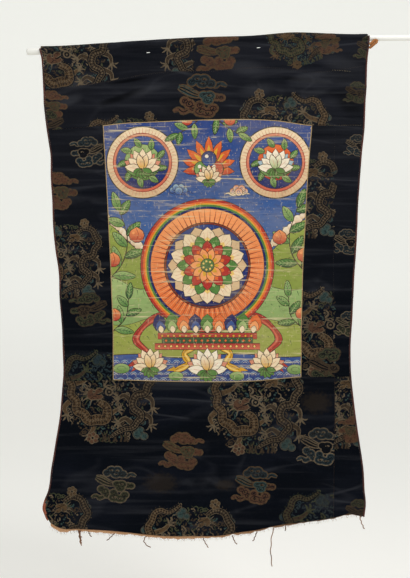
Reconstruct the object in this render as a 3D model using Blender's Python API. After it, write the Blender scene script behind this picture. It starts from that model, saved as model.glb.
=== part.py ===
# Thangka scroll painting: a painted canvas in a dark brocade mount, hung by a sleeve on a white rod.
# Metres, +Z up. The front faces -Y. The origin is on the rod's axis at mid-width.

import bpy
import math
import numpy as np
from mathutils import Vector

# Driving dimensions
GAP = 0.0003              # between pieces that touch
CLOTH = 0.0012            # brocade with its facing, and the painted canvas
LINING = 0.0010
FRONT = 0.0040            # front face of the cloth, ahead of the rod's axis
LAYER_GAP = 0.0006        # between the sleeve's front and back layers
ROD_SLACK = 0.0005        # between the rod and the cloth round it
TROUGH_DROP = 0.0115      # from the rod's axis to the pinch under it
PIPING_RADIUS = 0.0017
SLIT_WIDTH = 0.0105
SLIT_HEIGHT = 0.0032
SLIT_DROP = 0.0270        # from the sleeve's crest to a slit's middle
SLIT_CENTRES = (-0.1197, 0.1119)
LOOP_CORD_RADIUS = 0.0013
LOOP_FORWARD = 0.0045
HEM_THICKNESS = 0.0012
SIDE_BLEND = 0.120        # how far in from each side the sleeve's upright lines lean with its side edge

# Outer side edges of the piping, top to bottom. Columns: z, left x, right x.
LEFT_EDGE, RIGHT_EDGE = 1, 2
EDGES = (
    (0.030, -0.350, 0.345),
    (-0.011, -0.349, 0.345),
    (-0.036, -0.344, 0.342),
    (-0.087, -0.341, 0.340),
    (-0.137, -0.338, 0.337),
    (-0.188, -0.332, 0.3345),
    (-0.238, -0.324, 0.329),
    (-0.288, -0.323, 0.325),
    (-0.339, -0.320, 0.3215),
    (-0.389, -0.318, 0.319),
    (-0.440, -0.313, 0.3165),
    (-0.490, -0.306, 0.313),
    (-0.540, -0.304, 0.310),
    (-0.591, -0.300, 0.308),
    (-0.641, -0.298, 0.3045),
    (-0.692, -0.296, 0.305),
    (-0.742, -0.300, 0.310),
    (-0.792, -0.304, 0.3155),
    (-0.843, -0.313, 0.3235),
    (-0.893, -0.321, 0.3305),
    (-0.944, -0.328, 0.334),
    (-0.969, -0.337, 0.336),
    (-0.994, -0.334, 0.333),
    (-1.013, -0.324, 0.331),
)

# Upright lines. Columns: z, x of the painting's left side, its right side, and the seam near the right edge.
PAINTING_LEFT, PAINTING_RIGHT, SIDE_SEAM = 1, 2, 3
UPRIGHTS = (
    (-0.050, -0.2165, 0.2280, 0.2750),
    (-0.175, -0.2145, 0.2250, 0.2750),
    (-0.250, -0.2100, 0.2185, 0.2720),
    (-0.380, -0.2030, 0.2110, 0.2700),
    (-0.490, -0.1980, 0.2055, 0.2705),
    (-0.590, -0.1940, 0.2030, 0.2710),
    (-0.710, -0.1930, 0.2015, 0.2715),
    (-1.040, -0.2000, 0.2050, 0.2680),
)

# Level lines: each row is one seam or edge, as (x, z) pairs from left to right.
CREST = ((-0.350, -0.0105), (-0.321, -0.0105), (-0.220, -0.0045), (-0.120, 0.0022), (0.000, 0.0085),
         (0.107, 0.0121), (0.183, 0.0184), (0.258, 0.0163), (0.309, 0.0148), (0.345, 0.0156))
SLEEVE_SEAM = ((-0.345, -0.1030), (-0.239, -0.0910), (-0.088, -0.0658), (0.000, -0.0637),
               (0.132, -0.0553), (0.235, -0.0650), (0.342, -0.0511))
PAINTING_TOP = ((-0.336, -0.1897), (-0.2145, -0.1785), (-0.174, -0.1736), (-0.115, -0.1708), (0.000, -0.1660),
                (0.095, -0.1650), (0.149, -0.1677), (0.225, -0.1780), (0.336, -0.1763))
PAINTING_BOTTOM = ((-0.298, -0.7147), (-0.193, -0.7126), (-0.095, -0.7154), (0.000, -0.7168),
                   (0.095, -0.7154), (0.2015, -0.7063), (0.308, -0.7042))
BOTTOM = ((-0.324, -1.0130), (-0.308, -1.0222), (-0.262, -1.0251), (-0.158, -1.0329), (-0.061, -1.0417),
          (0.002, -1.0402), (0.044, -1.0381), (0.128, -1.0234), (0.198, -1.0115), (0.265, -1.0016),
          (0.305, -0.9936), (0.331, -0.9991))
HEM_HEIGHT = ((-0.324, 0.0050), (-0.280, 0.0032), (-0.200, 0.0045), (-0.120, 0.0036), (-0.050, 0.0052),
              (0.030, 0.0034), (0.070, 0.0055), (0.110, 0.0034), (0.150, 0.0052), (0.200, 0.0032),
              (0.260, 0.0026), (0.331, 0.0030))

# The rod, from its left end to its right end. Columns: x, z of its axis, radius.
ROD_HEIGHT, ROD_RADIUS = 1, 2
ROD = (
    (-0.376, -0.0226, 0.0074),
    (-0.350, -0.0215, 0.0074),
    (-0.220, -0.0145, 0.0071),
    (-0.120, -0.0070, 0.0069),
    (0.000, 0.0000, 0.0067),
    (0.107, 0.0038, 0.0065),
    (0.183, 0.0064, 0.0063),
    (0.258, 0.0074, 0.0062),
    (0.345, 0.0064, 0.0061),
    (0.452, 0.0064, 0.0060),
)
ROD_SIDES = 14
ROD_END_RINGS = (0.35, 0.75, 1.0)      # share of the radius at each ring of a rounded end
ROD_END_DEPTH = 0.5                    # how deep a rounded end is, in radii
ROD_BARE_STEPS = 3                     # rings along the bare stretch at the right

# How far the cloth stands forward of its straight hang. Columns: z, then one for each place across.
HANG_PLACES = (-0.33, -0.17, 0.0, 0.17, 0.33)
HANG = (
    (-0.050, 0.000, 0.000, 0.000, 0.000, 0.000),
    (-0.105, 0.000, 0.000, 0.000, 0.000, 0.000),
    (-0.150, 0.005, 0.002, 0.003, 0.001, 0.004),
    (-0.200, 0.007, 0.003, 0.001, 0.003, 0.006),
    (-0.300, 0.010, 0.003, 0.000, 0.003, 0.009),
    (-0.450, 0.013, 0.002, 0.001, 0.002, 0.012),
    (-0.600, 0.016, 0.003, 0.002, 0.003, 0.015),
    (-0.700, 0.016, 0.005, 0.004, 0.006, 0.016),
    (-0.800, 0.013, 0.006, 0.008, 0.008, 0.014),
    (-0.900, 0.012, 0.012, 0.010, 0.013, 0.014),
    (-0.970, 0.020, 0.016, 0.014, 0.018, 0.016),
    (-1.040, 0.016, 0.022, 0.020, 0.022, 0.024),
)

# Soft creases left by rolling and hanging: a ridge, or a trough with a negative height, along a line.
# Columns: x and z of its start, x and z of its end, height, half width.
CREASES = (
    (-0.330, -0.128, -0.100, -0.155, 0.0035, 0.026),
    (-0.120, -0.108, 0.050, -0.140, 0.0025, 0.026),
    (0.100, -0.140, 0.300, -0.118, -0.0030, 0.024),
    (0.180, -0.100, 0.335, -0.103, 0.0035, 0.024),
    (-0.325, -0.222, -0.215, -0.216, 0.0035, 0.024),
    (-0.300, -0.262, 0.310, -0.255, 0.0020, 0.034),
    (-0.310, -0.335, 0.305, -0.343, -0.0024, 0.034),
    (-0.300, -0.405, 0.310, -0.398, 0.0026, 0.036),
    (-0.300, -0.470, 0.300, -0.476, -0.0024, 0.034),
    (-0.290, -0.540, 0.300, -0.530, 0.0030, 0.036),
    (-0.290, -0.612, 0.300, -0.604, -0.0026, 0.036),
    (-0.290, -0.672, 0.295, -0.666, 0.0026, 0.034),
    (-0.290, -0.742, 0.300, -0.732, -0.0030, 0.034),
    (-0.300, -0.800, 0.310, -0.792, 0.0040, 0.036),
    (-0.300, -0.862, 0.300, -0.850, -0.0030, 0.034),
    (-0.310, -0.912, 0.320, -0.902, 0.0030, 0.034),
    (-0.310, -0.962, 0.320, -0.950, -0.0030, 0.030),
)

# Loose threads at the hem. Columns: x of the root, sideways swing half way, swing at the tip, drop, width.
THREADS = (
    (-0.2620, 0.002, 0.004, 0.033, 0.0030),
    (-0.2440, 0.003, 0.007, 0.013, 0.0016),
    (-0.1870, -0.008, -0.017, 0.016, 0.0015),
    (-0.1200, -0.007, 0.006, 0.024, 0.0015),
    (-0.0040, 0.004, 0.011, 0.021, 0.0015),
    (0.0570, 0.003, 0.009, 0.018, 0.0014),
    (0.1090, -0.004, -0.009, 0.021, 0.0014),
    (0.1430, -0.006, -0.003, 0.080, 0.0016),
    (0.1670, 0.001, 0.000, 0.013, 0.0022),
    (0.3230, 0.003, 0.009, 0.026, 0.0016),
)
THREAD_RINGS = 7
THREAD_TAPER = 0.45       # share of its width that a thread loses by its tip
THREAD_LEAN = 0.002       # how far forward its tip hangs

# The small loop at the upper right corner, along its cord. Columns: x, z.
LOOP = (
    (0.3462, -0.0172),
    (0.3520, -0.0125),
    (0.3575, -0.0080),
    (0.3605, -0.0050),
    (0.3598, -0.0032),
    (0.3570, -0.0028),
    (0.3525, -0.0060),
    (0.3462, -0.0103),
)

# The sleeve's section: degrees round the rod from front to back, then the flat layers under it.
# Columns of the layers: share of the way up from the seam to the slits, how far they swell.
WRAP_ANGLES = (-50, -25, 0, 25, 50, 72, 90, 108, 130, 155, 180, 205, 230)
LAYER_SWELL = ((0.0, 0.0), (0.35, 0.0015), (0.7, 0.0012))
SLIT_SWELL = (0.0008, 0.0004)          # at a slit's lower and upper lip

# The piping's upper end, in front of the rod. Columns: height above the rod's axis, and the share of the
# way back from clear of the rod to the cloth's own depth.
PIPING_TOP = ((0.003, 0.0), (-0.003, 0.0), (-0.009, 0.2), (-0.0175, 0.8), (-0.0415, 0.8))
PIPING_SIDES = 6

# The cloth's shared grid: cells between one upright line and the next, and between level lines.
CELLS_ACROSS = (3, 12, 2, 2)
CELLS_DOWN = (4, 19, 11)

COLOURS = {
    "brocade": (0.012, 0.016, 0.026),
    "canvas": (0.240, 0.330, 0.170),
    "piping": (0.160, 0.050, 0.030),
    "lining": (0.420, 0.290, 0.170),
    "rod": (0.860, 0.850, 0.800),
    "loop": (0.230, 0.100, 0.040),
}


def clear_scene():
    for item in list(bpy.data.objects):
        bpy.data.objects.remove(item, do_unlink=True)


def material(name, colour, roughness):
    made = bpy.data.materials.new(name)
    made.use_nodes = True
    shader = made.node_tree.nodes["Principled BSDF"]
    shader.inputs["Base Color"].default_value = (*colour, 1.0)
    shader.inputs["Roughness"].default_value = roughness
    return made


def add_object(name, points, faces, finish, smooth=False):
    mesh = bpy.data.meshes.new(name)
    mesh.from_pydata([tuple(p) for p in points], [], faces)
    mesh.validate()
    if smooth:
        mesh.shade_smooth()
        mesh.set_sharp_from_angle(angle=math.radians(50))
    mesh.materials.append(finish)
    made = bpy.data.objects.new(name, mesh)
    bpy.context.scene.collection.objects.link(made)
    return made


def smooth_line(rows, at, column=1):
    """A smooth curve through a table's rows: its value in one column, where the first column is `at`."""
    rows = sorted(rows)
    xs = np.array([row[0] for row in rows])
    ys = np.array([row[column] for row in rows])
    slopes = np.gradient(ys, xs)
    k = int(np.clip(np.searchsorted(xs, at) - 1, 0, len(xs) - 2))
    width = xs[k + 1] - xs[k]
    t = (at - xs[k]) / width
    if t < 0 or t > 1:
        end, slope = (ys[k], slopes[k]) if t < 0 else (ys[k + 1], slopes[k + 1])
        return float(end + slope * (at - (xs[k] if t < 0 else xs[k + 1])))
    rise = (2 * t**3 - 3 * t**2 + 1) * ys[k] + (3 * t**2 - 2 * t**3) * ys[k + 1]
    bend = (t**3 - 2 * t**2 + t) * slopes[k] + (t**3 - t**2) * slopes[k + 1]
    return float(rise + bend * width)


def crease_height(x, z):
    total = 0.0
    for x0, z0, x1, z1, height, half_width in CREASES:
        along = np.array([x1 - x0, z1 - z0])
        length = np.linalg.norm(along)
        along = along / length
        offset = np.array([x - x0, z - z0])
        run = float(offset @ along)
        across = abs(float(offset[0] * along[1] - offset[1] * along[0]))
        beyond = max(0.0, -run, run - length)
        reach = math.hypot(across, beyond) / half_width
        if reach < 1:
            total += height * (0.5 + 0.5 * math.cos(math.pi * reach))
    return total


def forward(x, z):
    """How far the cloth's front face stands forward of its straight hang."""
    at_height = [(place, smooth_line(HANG, z, k + 1)) for k, place in enumerate(HANG_PLACES)]
    near_seam = smooth_line(SLEEVE_SEAM, x) - z
    fade = min(1.0, max(0.0, near_seam / 0.03))
    return (smooth_line(at_height, x) + crease_height(x, z)) * fade


def hem_line(x):
    """Where the cloth ends and its raw hem begins."""
    return smooth_line(BOTTOM, x) + smooth_line(HEM_HEIGHT, x) + GAP


LEVELS = (
    lambda x: smooth_line(SLEEVE_SEAM, x),
    lambda x: smooth_line(PAINTING_TOP, x),
    lambda x: smooth_line(PAINTING_BOTTOM, x),
    hem_line,
)

EDGE_INSET = 2 * PIPING_RADIUS + GAP
VERTICALS = (
    lambda z: smooth_line(EDGES, z, LEFT_EDGE) + EDGE_INSET,
    lambda z: smooth_line(UPRIGHTS, z, PAINTING_LEFT),
    lambda z: smooth_line(UPRIGHTS, z, PAINTING_RIGHT),
    lambda z: smooth_line(UPRIGHTS, z, SIDE_SEAM),
    lambda z: smooth_line(EDGES, z, RIGHT_EDGE) - EDGE_INSET,
)


def split(lines, cells, place, at):
    """The place of a grid line between two key lines, where place counts cells from the first line."""
    for k, count in enumerate(cells):
        if place <= count:
            share = place / count
            return (1 - share) * lines[k](at) + share * lines[k + 1](at)
        place -= count
    return lines[-1](at)


def grid_point(column, row):
    x, z = 0.0, -0.5
    for _ in range(12):
        z = split(LEVELS, CELLS_DOWN, row, x)
        x = split(VERTICALS, CELLS_ACROSS, column, z)
    return x, z


COLUMNS = sum(CELLS_ACROSS)
ROWS = sum(CELLS_DOWN)
GRID = [[grid_point(column, row) for column in range(COLUMNS + 1)] for row in range(ROWS + 1)]


def sheet(name, across, down, depth, thickness, finish):
    """A closed sheet over a block of the cloth's grid, half a gap short of each seam."""
    first, last = sum(CELLS_ACROSS[:across[0]]), sum(CELLS_ACROSS[:across[1]])
    top, bottom = sum(CELLS_DOWN[:down[0]]), sum(CELLS_DOWN[:down[1]])
    points, faces = [], []
    wide = last - first + 1
    for layer in (0, 1):
        for row in range(top, bottom + 1):
            for column in range(first, last + 1):
                x, z = GRID[row][column]
                y = depth - forward(x, z) + layer * thickness
                x += GAP / 2 * ((column == first and first > 0) - (column == last and last < COLUMNS))
                z += GAP / 2 * ((row == bottom) - (row == top))
                points.append((x, y, z))
    tall = bottom - top + 1
    back = wide * tall
    for r in range(tall - 1):
        for c in range(wide - 1):
            a, b = r * wide + c, r * wide + c + 1
            d, e = a + wide, b + wide
            faces += [(a, d, e), (a, e, b)]
            faces += [(back + a, back + e, back + d), (back + a, back + b, back + e)]
    rim = list(range(wide))
    rim += [r * wide + wide - 1 for r in range(1, tall)]
    rim += [(tall - 1) * wide + c for c in range(wide - 2, -1, -1)]
    rim += [r * wide for r in range(tall - 2, 0, -1)]
    for k, a in enumerate(rim):
        b = rim[(k + 1) % len(rim)]
        faces += [(a, b, back + b), (a, back + b, back + a)]
    return add_object(name, points, faces, finish, smooth=True)


def tube(name, centres, radii, sides, finish):
    """A closed tube through points, with a flat cap at each end."""
    centres = [Vector(c) for c in centres]
    points, faces = [], []
    side = None
    for k, centre in enumerate(centres):
        ahead = (centres[min(k + 1, len(centres) - 1)] - centres[max(k - 1, 0)]).normalized()
        if side is None:
            side = ahead.orthogonal().normalized()
        side = (side - ahead * side.dot(ahead)).normalized()
        up = ahead.cross(side)
        for s in range(sides):
            angle = 2 * math.pi * s / sides
            points.append(centre + radii[k] * (math.cos(angle) * side + math.sin(angle) * up))
    for k in range(len(centres) - 1):
        for s in range(sides):
            a, b = k * sides + s, k * sides + (s + 1) % sides
            faces.append((a, b, b + sides, a + sides))
    faces.append(tuple(range(sides - 1, -1, -1)))
    faces.append(tuple((len(centres) - 1) * sides + s for s in range(sides)))
    return add_object(name, points, faces, finish, smooth=True)


def sleeve_columns():
    """The cloth's own grid columns at the sleeve's seam, and both sides of each slit."""
    columns = {GRID[0][c][0] for c in range(COLUMNS + 1)}
    for centre in SLIT_CENTRES:
        columns |= {centre - SLIT_WIDTH / 2, centre + SLIT_WIDTH / 2}
    return sorted(columns)


def seam_height(x):
    """The sleeve's lower edge, along the straight runs of the cloth's grid."""
    return float(np.interp(x, [p[0] for p in GRID[0]], [p[1] for p in GRID[0]]))


def widened(x, z):
    """The sleeve's x at height z, which follows the side edge near each side and keeps the seam's points."""
    seam, first, last = seam_height(x), GRID[0][0][0], GRID[0][-1][0]
    left_share = max(0.0, 1 - (x - first) / SIDE_BLEND)
    right_share = max(0.0, 1 - (last - x) / SIDE_BLEND)
    left_shift = smooth_line(EDGES, z, LEFT_EDGE) - smooth_line(EDGES, seam, LEFT_EDGE)
    right_shift = smooth_line(EDGES, z, RIGHT_EDGE) - smooth_line(EDGES, seam, RIGHT_EDGE)
    return x + left_share * left_shift + right_share * right_shift


def sleeve_section(x):
    """The sleeve's outer and inner points at x, from the front seam over the rod to the back seam."""
    axis = smooth_line(ROD, x, ROD_HEIGHT)
    radius = smooth_line(ROD, x, ROD_RADIUS) + ROD_SLACK
    crest = smooth_line(CREST, x)
    seam = seam_height(x) + GAP / 2
    trough = axis - TROUGH_DROP
    slit = crest - SLIT_DROP
    back = -FRONT + CLOTH + LAYER_GAP
    outer, inner = [], []
    lips = (slit - SLIT_HEIGHT / 2, slit + SLIT_HEIGHT / 2)
    flat = [(seam + share * (lips[0] - seam), swell) for share, swell in LAYER_SWELL]
    flat += [*zip(lips, SLIT_SWELL), (trough, 0.0)]
    for z, swell in flat:
        outer.append((-FRONT - swell, z))
        inner.append((-FRONT - swell + CLOTH, z))
    for degrees in WRAP_ANGLES:
        angle = math.radians(degrees)
        rise = crest - axis if 0 < degrees < 180 else radius + CLOTH
        outer.append((-math.cos(angle) * (radius + CLOTH), axis + math.sin(angle) * rise))
        inner.append((-math.cos(angle) * radius, axis + math.sin(angle) * (rise - CLOTH)))
    for z, swell in reversed(flat):
        outer.append((back + CLOTH, z))
        inner.append((back, z))
    return outer, inner


def rod_sleeve(finish):
    columns = sleeve_columns()
    points, faces, index = [], [], {}
    outer_count = 0
    for c, x in enumerate(columns):
        outer, inner = sleeve_section(x)
        outer_count = len(outer)
        for layer, section in enumerate((outer, inner)):
            for k, (y, z) in enumerate(section):
                index[c, k, layer] = len(points)
                points.append((widened(x, z), y, z))
    slit_rows = (len(LAYER_SWELL), outer_count - 2 - len(LAYER_SWELL))

    def is_cut(c, k):
        middle = (columns[c] + columns[c + 1]) / 2
        return k in slit_rows and any(abs(middle - centre) < SLIT_WIDTH / 4 for centre in SLIT_CENTRES)

    cells = {(c, k) for c in range(len(columns) - 1) for k in range(outer_count - 1) if not is_cut(c, k)}
    for c, k in sorted(cells):
        corners = ((c, k), (c + 1, k), (c + 1, k + 1), (c, k + 1))
        out = [index[(*corner, 0)] for corner in corners]
        inn = [index[(*corner, 1)] for corner in corners]
        faces += [(out[0], out[1], out[2]), (out[0], out[2], out[3])]
        faces += [(inn[0], inn[2], inn[1]), (inn[0], inn[3], inn[2])]
        neighbours = ((c, k - 1), (c + 1, k), (c, k + 1), (c - 1, k))
        for side, neighbour in enumerate(neighbours):
            if neighbour not in cells:
                a, b = side, (side + 1) % 4
                faces.append((out[b], out[a], inn[a], inn[b]))
    return add_object("rod_sleeve", points, faces, finish, smooth=True)


def rod(finish):
    left, right = ROD[0], ROD[-1]
    places = sleeve_columns()
    bare = right[0] - places[-1]
    places += [places[-1] + bare * step / ROD_BARE_STEPS for step in range(1, ROD_BARE_STEPS)]
    inset = {share: ROD_END_DEPTH * (1 - math.sqrt(1 - share**2)) for share in ROD_END_RINGS}
    centres = [left[0] + inset[share] * left[ROD_RADIUS] for share in ROD_END_RINGS] + places
    centres += [right[0] - inset[share] * right[ROD_RADIUS] for share in reversed(ROD_END_RINGS)]
    radii = [*ROD_END_RINGS, *[1.0] * len(places), *reversed(ROD_END_RINGS)]
    line = [(x, 0.0, smooth_line(ROD, x, ROD_HEIGHT)) for x in centres]
    sizes = [share * smooth_line(ROD, x, ROD_RADIUS) for share, x in zip(radii, centres)]
    return tube("rod", line, sizes, ROD_SIDES, finish)


def piping(name, edge_column, outward, finish):
    """The cord along one side edge, from the sleeve's front down to the lower corner."""
    corner = -1 if outward > 0 else 0
    middle = -FRONT + (CLOTH + GAP + LINING) / 2
    path = []
    side = sleeve_columns()[corner]
    axis = smooth_line(ROD, side, ROD_HEIGHT)
    clear = -(smooth_line(ROD, side, ROD_RADIUS) + PIPING_RADIUS + GAP)
    for above, share in PIPING_TOP:
        z = axis + above
        path.append((smooth_line(EDGES, z, edge_column) - outward * PIPING_RADIUS,
                     clear + share * (middle - clear), z))
    for row in range(ROWS + 1):
        x, z = GRID[row][corner]
        path.append((x + outward * (PIPING_RADIUS + GAP), middle - forward(x, z), z))
    return tube(name, path, [PIPING_RADIUS] * len(path), PIPING_SIDES, finish)


def frayed_hem(finish):
    """The narrow raw edge under the cloth, with each thread growing out of its lower side."""
    bottom_row = GRID[ROWS]
    stops = {x: None for x, _ in bottom_row}
    for thread in THREADS:
        x, width = thread[0], thread[-1]
        stops[x - width / 2] = thread
        stops[x + width / 2] = None
    columns = sorted(stops)
    points, faces = [], []
    for x in columns:
        top_z = float(np.interp(x, [p[0] for p in bottom_row], [p[1] for p in bottom_row])) - GAP / 2
        low_z = top_z - smooth_line(HEM_HEIGHT, x)
        y = -FRONT + CLOTH + GAP - forward(x, top_z)
        points += [(x, y, top_z), (x, y, low_z), (x, y + HEM_THICKNESS, low_z), (x, y + HEM_THICKNESS, top_z)]
    for c in range(len(columns) - 1):
        a, b = 4 * c, 4 * (c + 1)
        thread = stops[columns[c]]
        for side in range(4):
            if side == 1 and thread:
                continue
            nxt = (side + 1) % 4
            faces.append((a + side, a + nxt, b + nxt, b + side))
        if thread:
            add_thread(points, faces, (a + 1, b + 1, b + 2, a + 2), thread)
    faces.append((3, 2, 1, 0))
    last = 4 * (len(columns) - 1)
    faces.append((last, last + 1, last + 2, last + 3))
    return add_object("frayed_hem", points, faces, finish)


def add_thread(points, faces, root, thread):
    x, middle_swing, tip_swing, drop, width = thread
    corners = [Vector(points[k]) for k in root]
    centre = sum(corners, Vector()) / 4
    ring = list(root)
    for step in range(1, THREAD_RINGS + 1):
        t = step / THREAD_RINGS
        swing = middle_swing * 4 * t * (1 - t) + tip_swing * t * (2 * t - 1)
        shrink = 1 - THREAD_TAPER * t
        shift = Vector((swing, -THREAD_LEAN * t, -drop * t))
        first = len(points)
        points.extend(tuple(centre + (corner - centre) * shrink + shift) for corner in corners)
        new = [first + k for k in range(4)]
        for side in range(4):
            nxt = (side + 1) % 4
            faces.append((ring[side], new[side], new[nxt], ring[nxt]))
        ring = new
    faces.append(tuple(reversed(ring)))


def corner_loop(finish):
    line = [(x, -LOOP_FORWARD, z) for x, z in LOOP]
    fine = []
    for k in range(len(line) - 1):
        before = Vector(line[max(k - 1, 0)])
        start, end = Vector(line[k]), Vector(line[k + 1])
        after = Vector(line[min(k + 2, len(line) - 1)])
        for t in (0.0, 0.5):
            bend = (end - before) * (t**3 - 2 * t**2 + t) / 2 + (after - start) * (t**3 - t**2) / 2
            fine.append(start * (2 * t**3 - 3 * t**2 + 1) + end * (3 * t**2 - 2 * t**3) + bend)
    fine.append(Vector(line[-1]))
    return tube("corner_loop", fine, [LOOP_CORD_RADIUS] * len(fine), 6, finish)


def build():
    clear_scene()
    brocade = material("brocade", COLOURS["brocade"], 0.6)
    canvas = material("canvas", COLOURS["canvas"], 0.8)
    cord = material("piping", COLOURS["piping"], 0.8)
    cotton = material("lining", COLOURS["lining"], 0.9)
    white = material("rod", COLOURS["rod"], 0.5)
    brown = material("loop", COLOURS["loop"], 0.8)
    rod(white)
    rod_sleeve(brocade)
    sheet("heading", (0, 4), (0, 1), -FRONT, CLOTH, brocade)
    sheet("left_strip", (0, 1), (1, 2), -FRONT, CLOTH, brocade)
    sheet("painted_canvas", (1, 2), (1, 2), -FRONT, CLOTH, canvas)
    sheet("right_strip", (2, 4), (1, 2), -FRONT, CLOTH, brocade)
    sheet("skirt", (0, 3), (2, 3), -FRONT, CLOTH, brocade)
    sheet("skirt_strip", (3, 4), (2, 3), -FRONT, CLOTH, brocade)
    sheet("lining", (0, 4), (0, 3), -FRONT + CLOTH + GAP, LINING, cotton)
    piping("left_piping", LEFT_EDGE, -1, cord)
    piping("right_piping", RIGHT_EDGE, 1, cord)
    frayed_hem(cotton)
    corner_loop(brown)


build()
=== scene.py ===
import math

import bpy
import numpy as np
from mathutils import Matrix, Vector
from mathutils.geometry import delaunay_2d_cdt


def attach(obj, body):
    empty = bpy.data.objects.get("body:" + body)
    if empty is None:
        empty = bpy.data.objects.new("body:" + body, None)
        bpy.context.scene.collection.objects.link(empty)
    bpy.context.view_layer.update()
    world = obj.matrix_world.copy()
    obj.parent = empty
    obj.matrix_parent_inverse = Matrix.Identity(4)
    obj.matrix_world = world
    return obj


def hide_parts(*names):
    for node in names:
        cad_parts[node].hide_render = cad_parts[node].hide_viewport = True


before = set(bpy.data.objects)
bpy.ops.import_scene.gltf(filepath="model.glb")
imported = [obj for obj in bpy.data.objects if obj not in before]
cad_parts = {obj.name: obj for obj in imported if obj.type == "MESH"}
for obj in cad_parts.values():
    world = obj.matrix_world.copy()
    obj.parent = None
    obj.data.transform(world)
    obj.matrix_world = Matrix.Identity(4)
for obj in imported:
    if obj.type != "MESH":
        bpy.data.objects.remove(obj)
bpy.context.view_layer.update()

print("frame loaded:", len(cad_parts), "solids")


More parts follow.
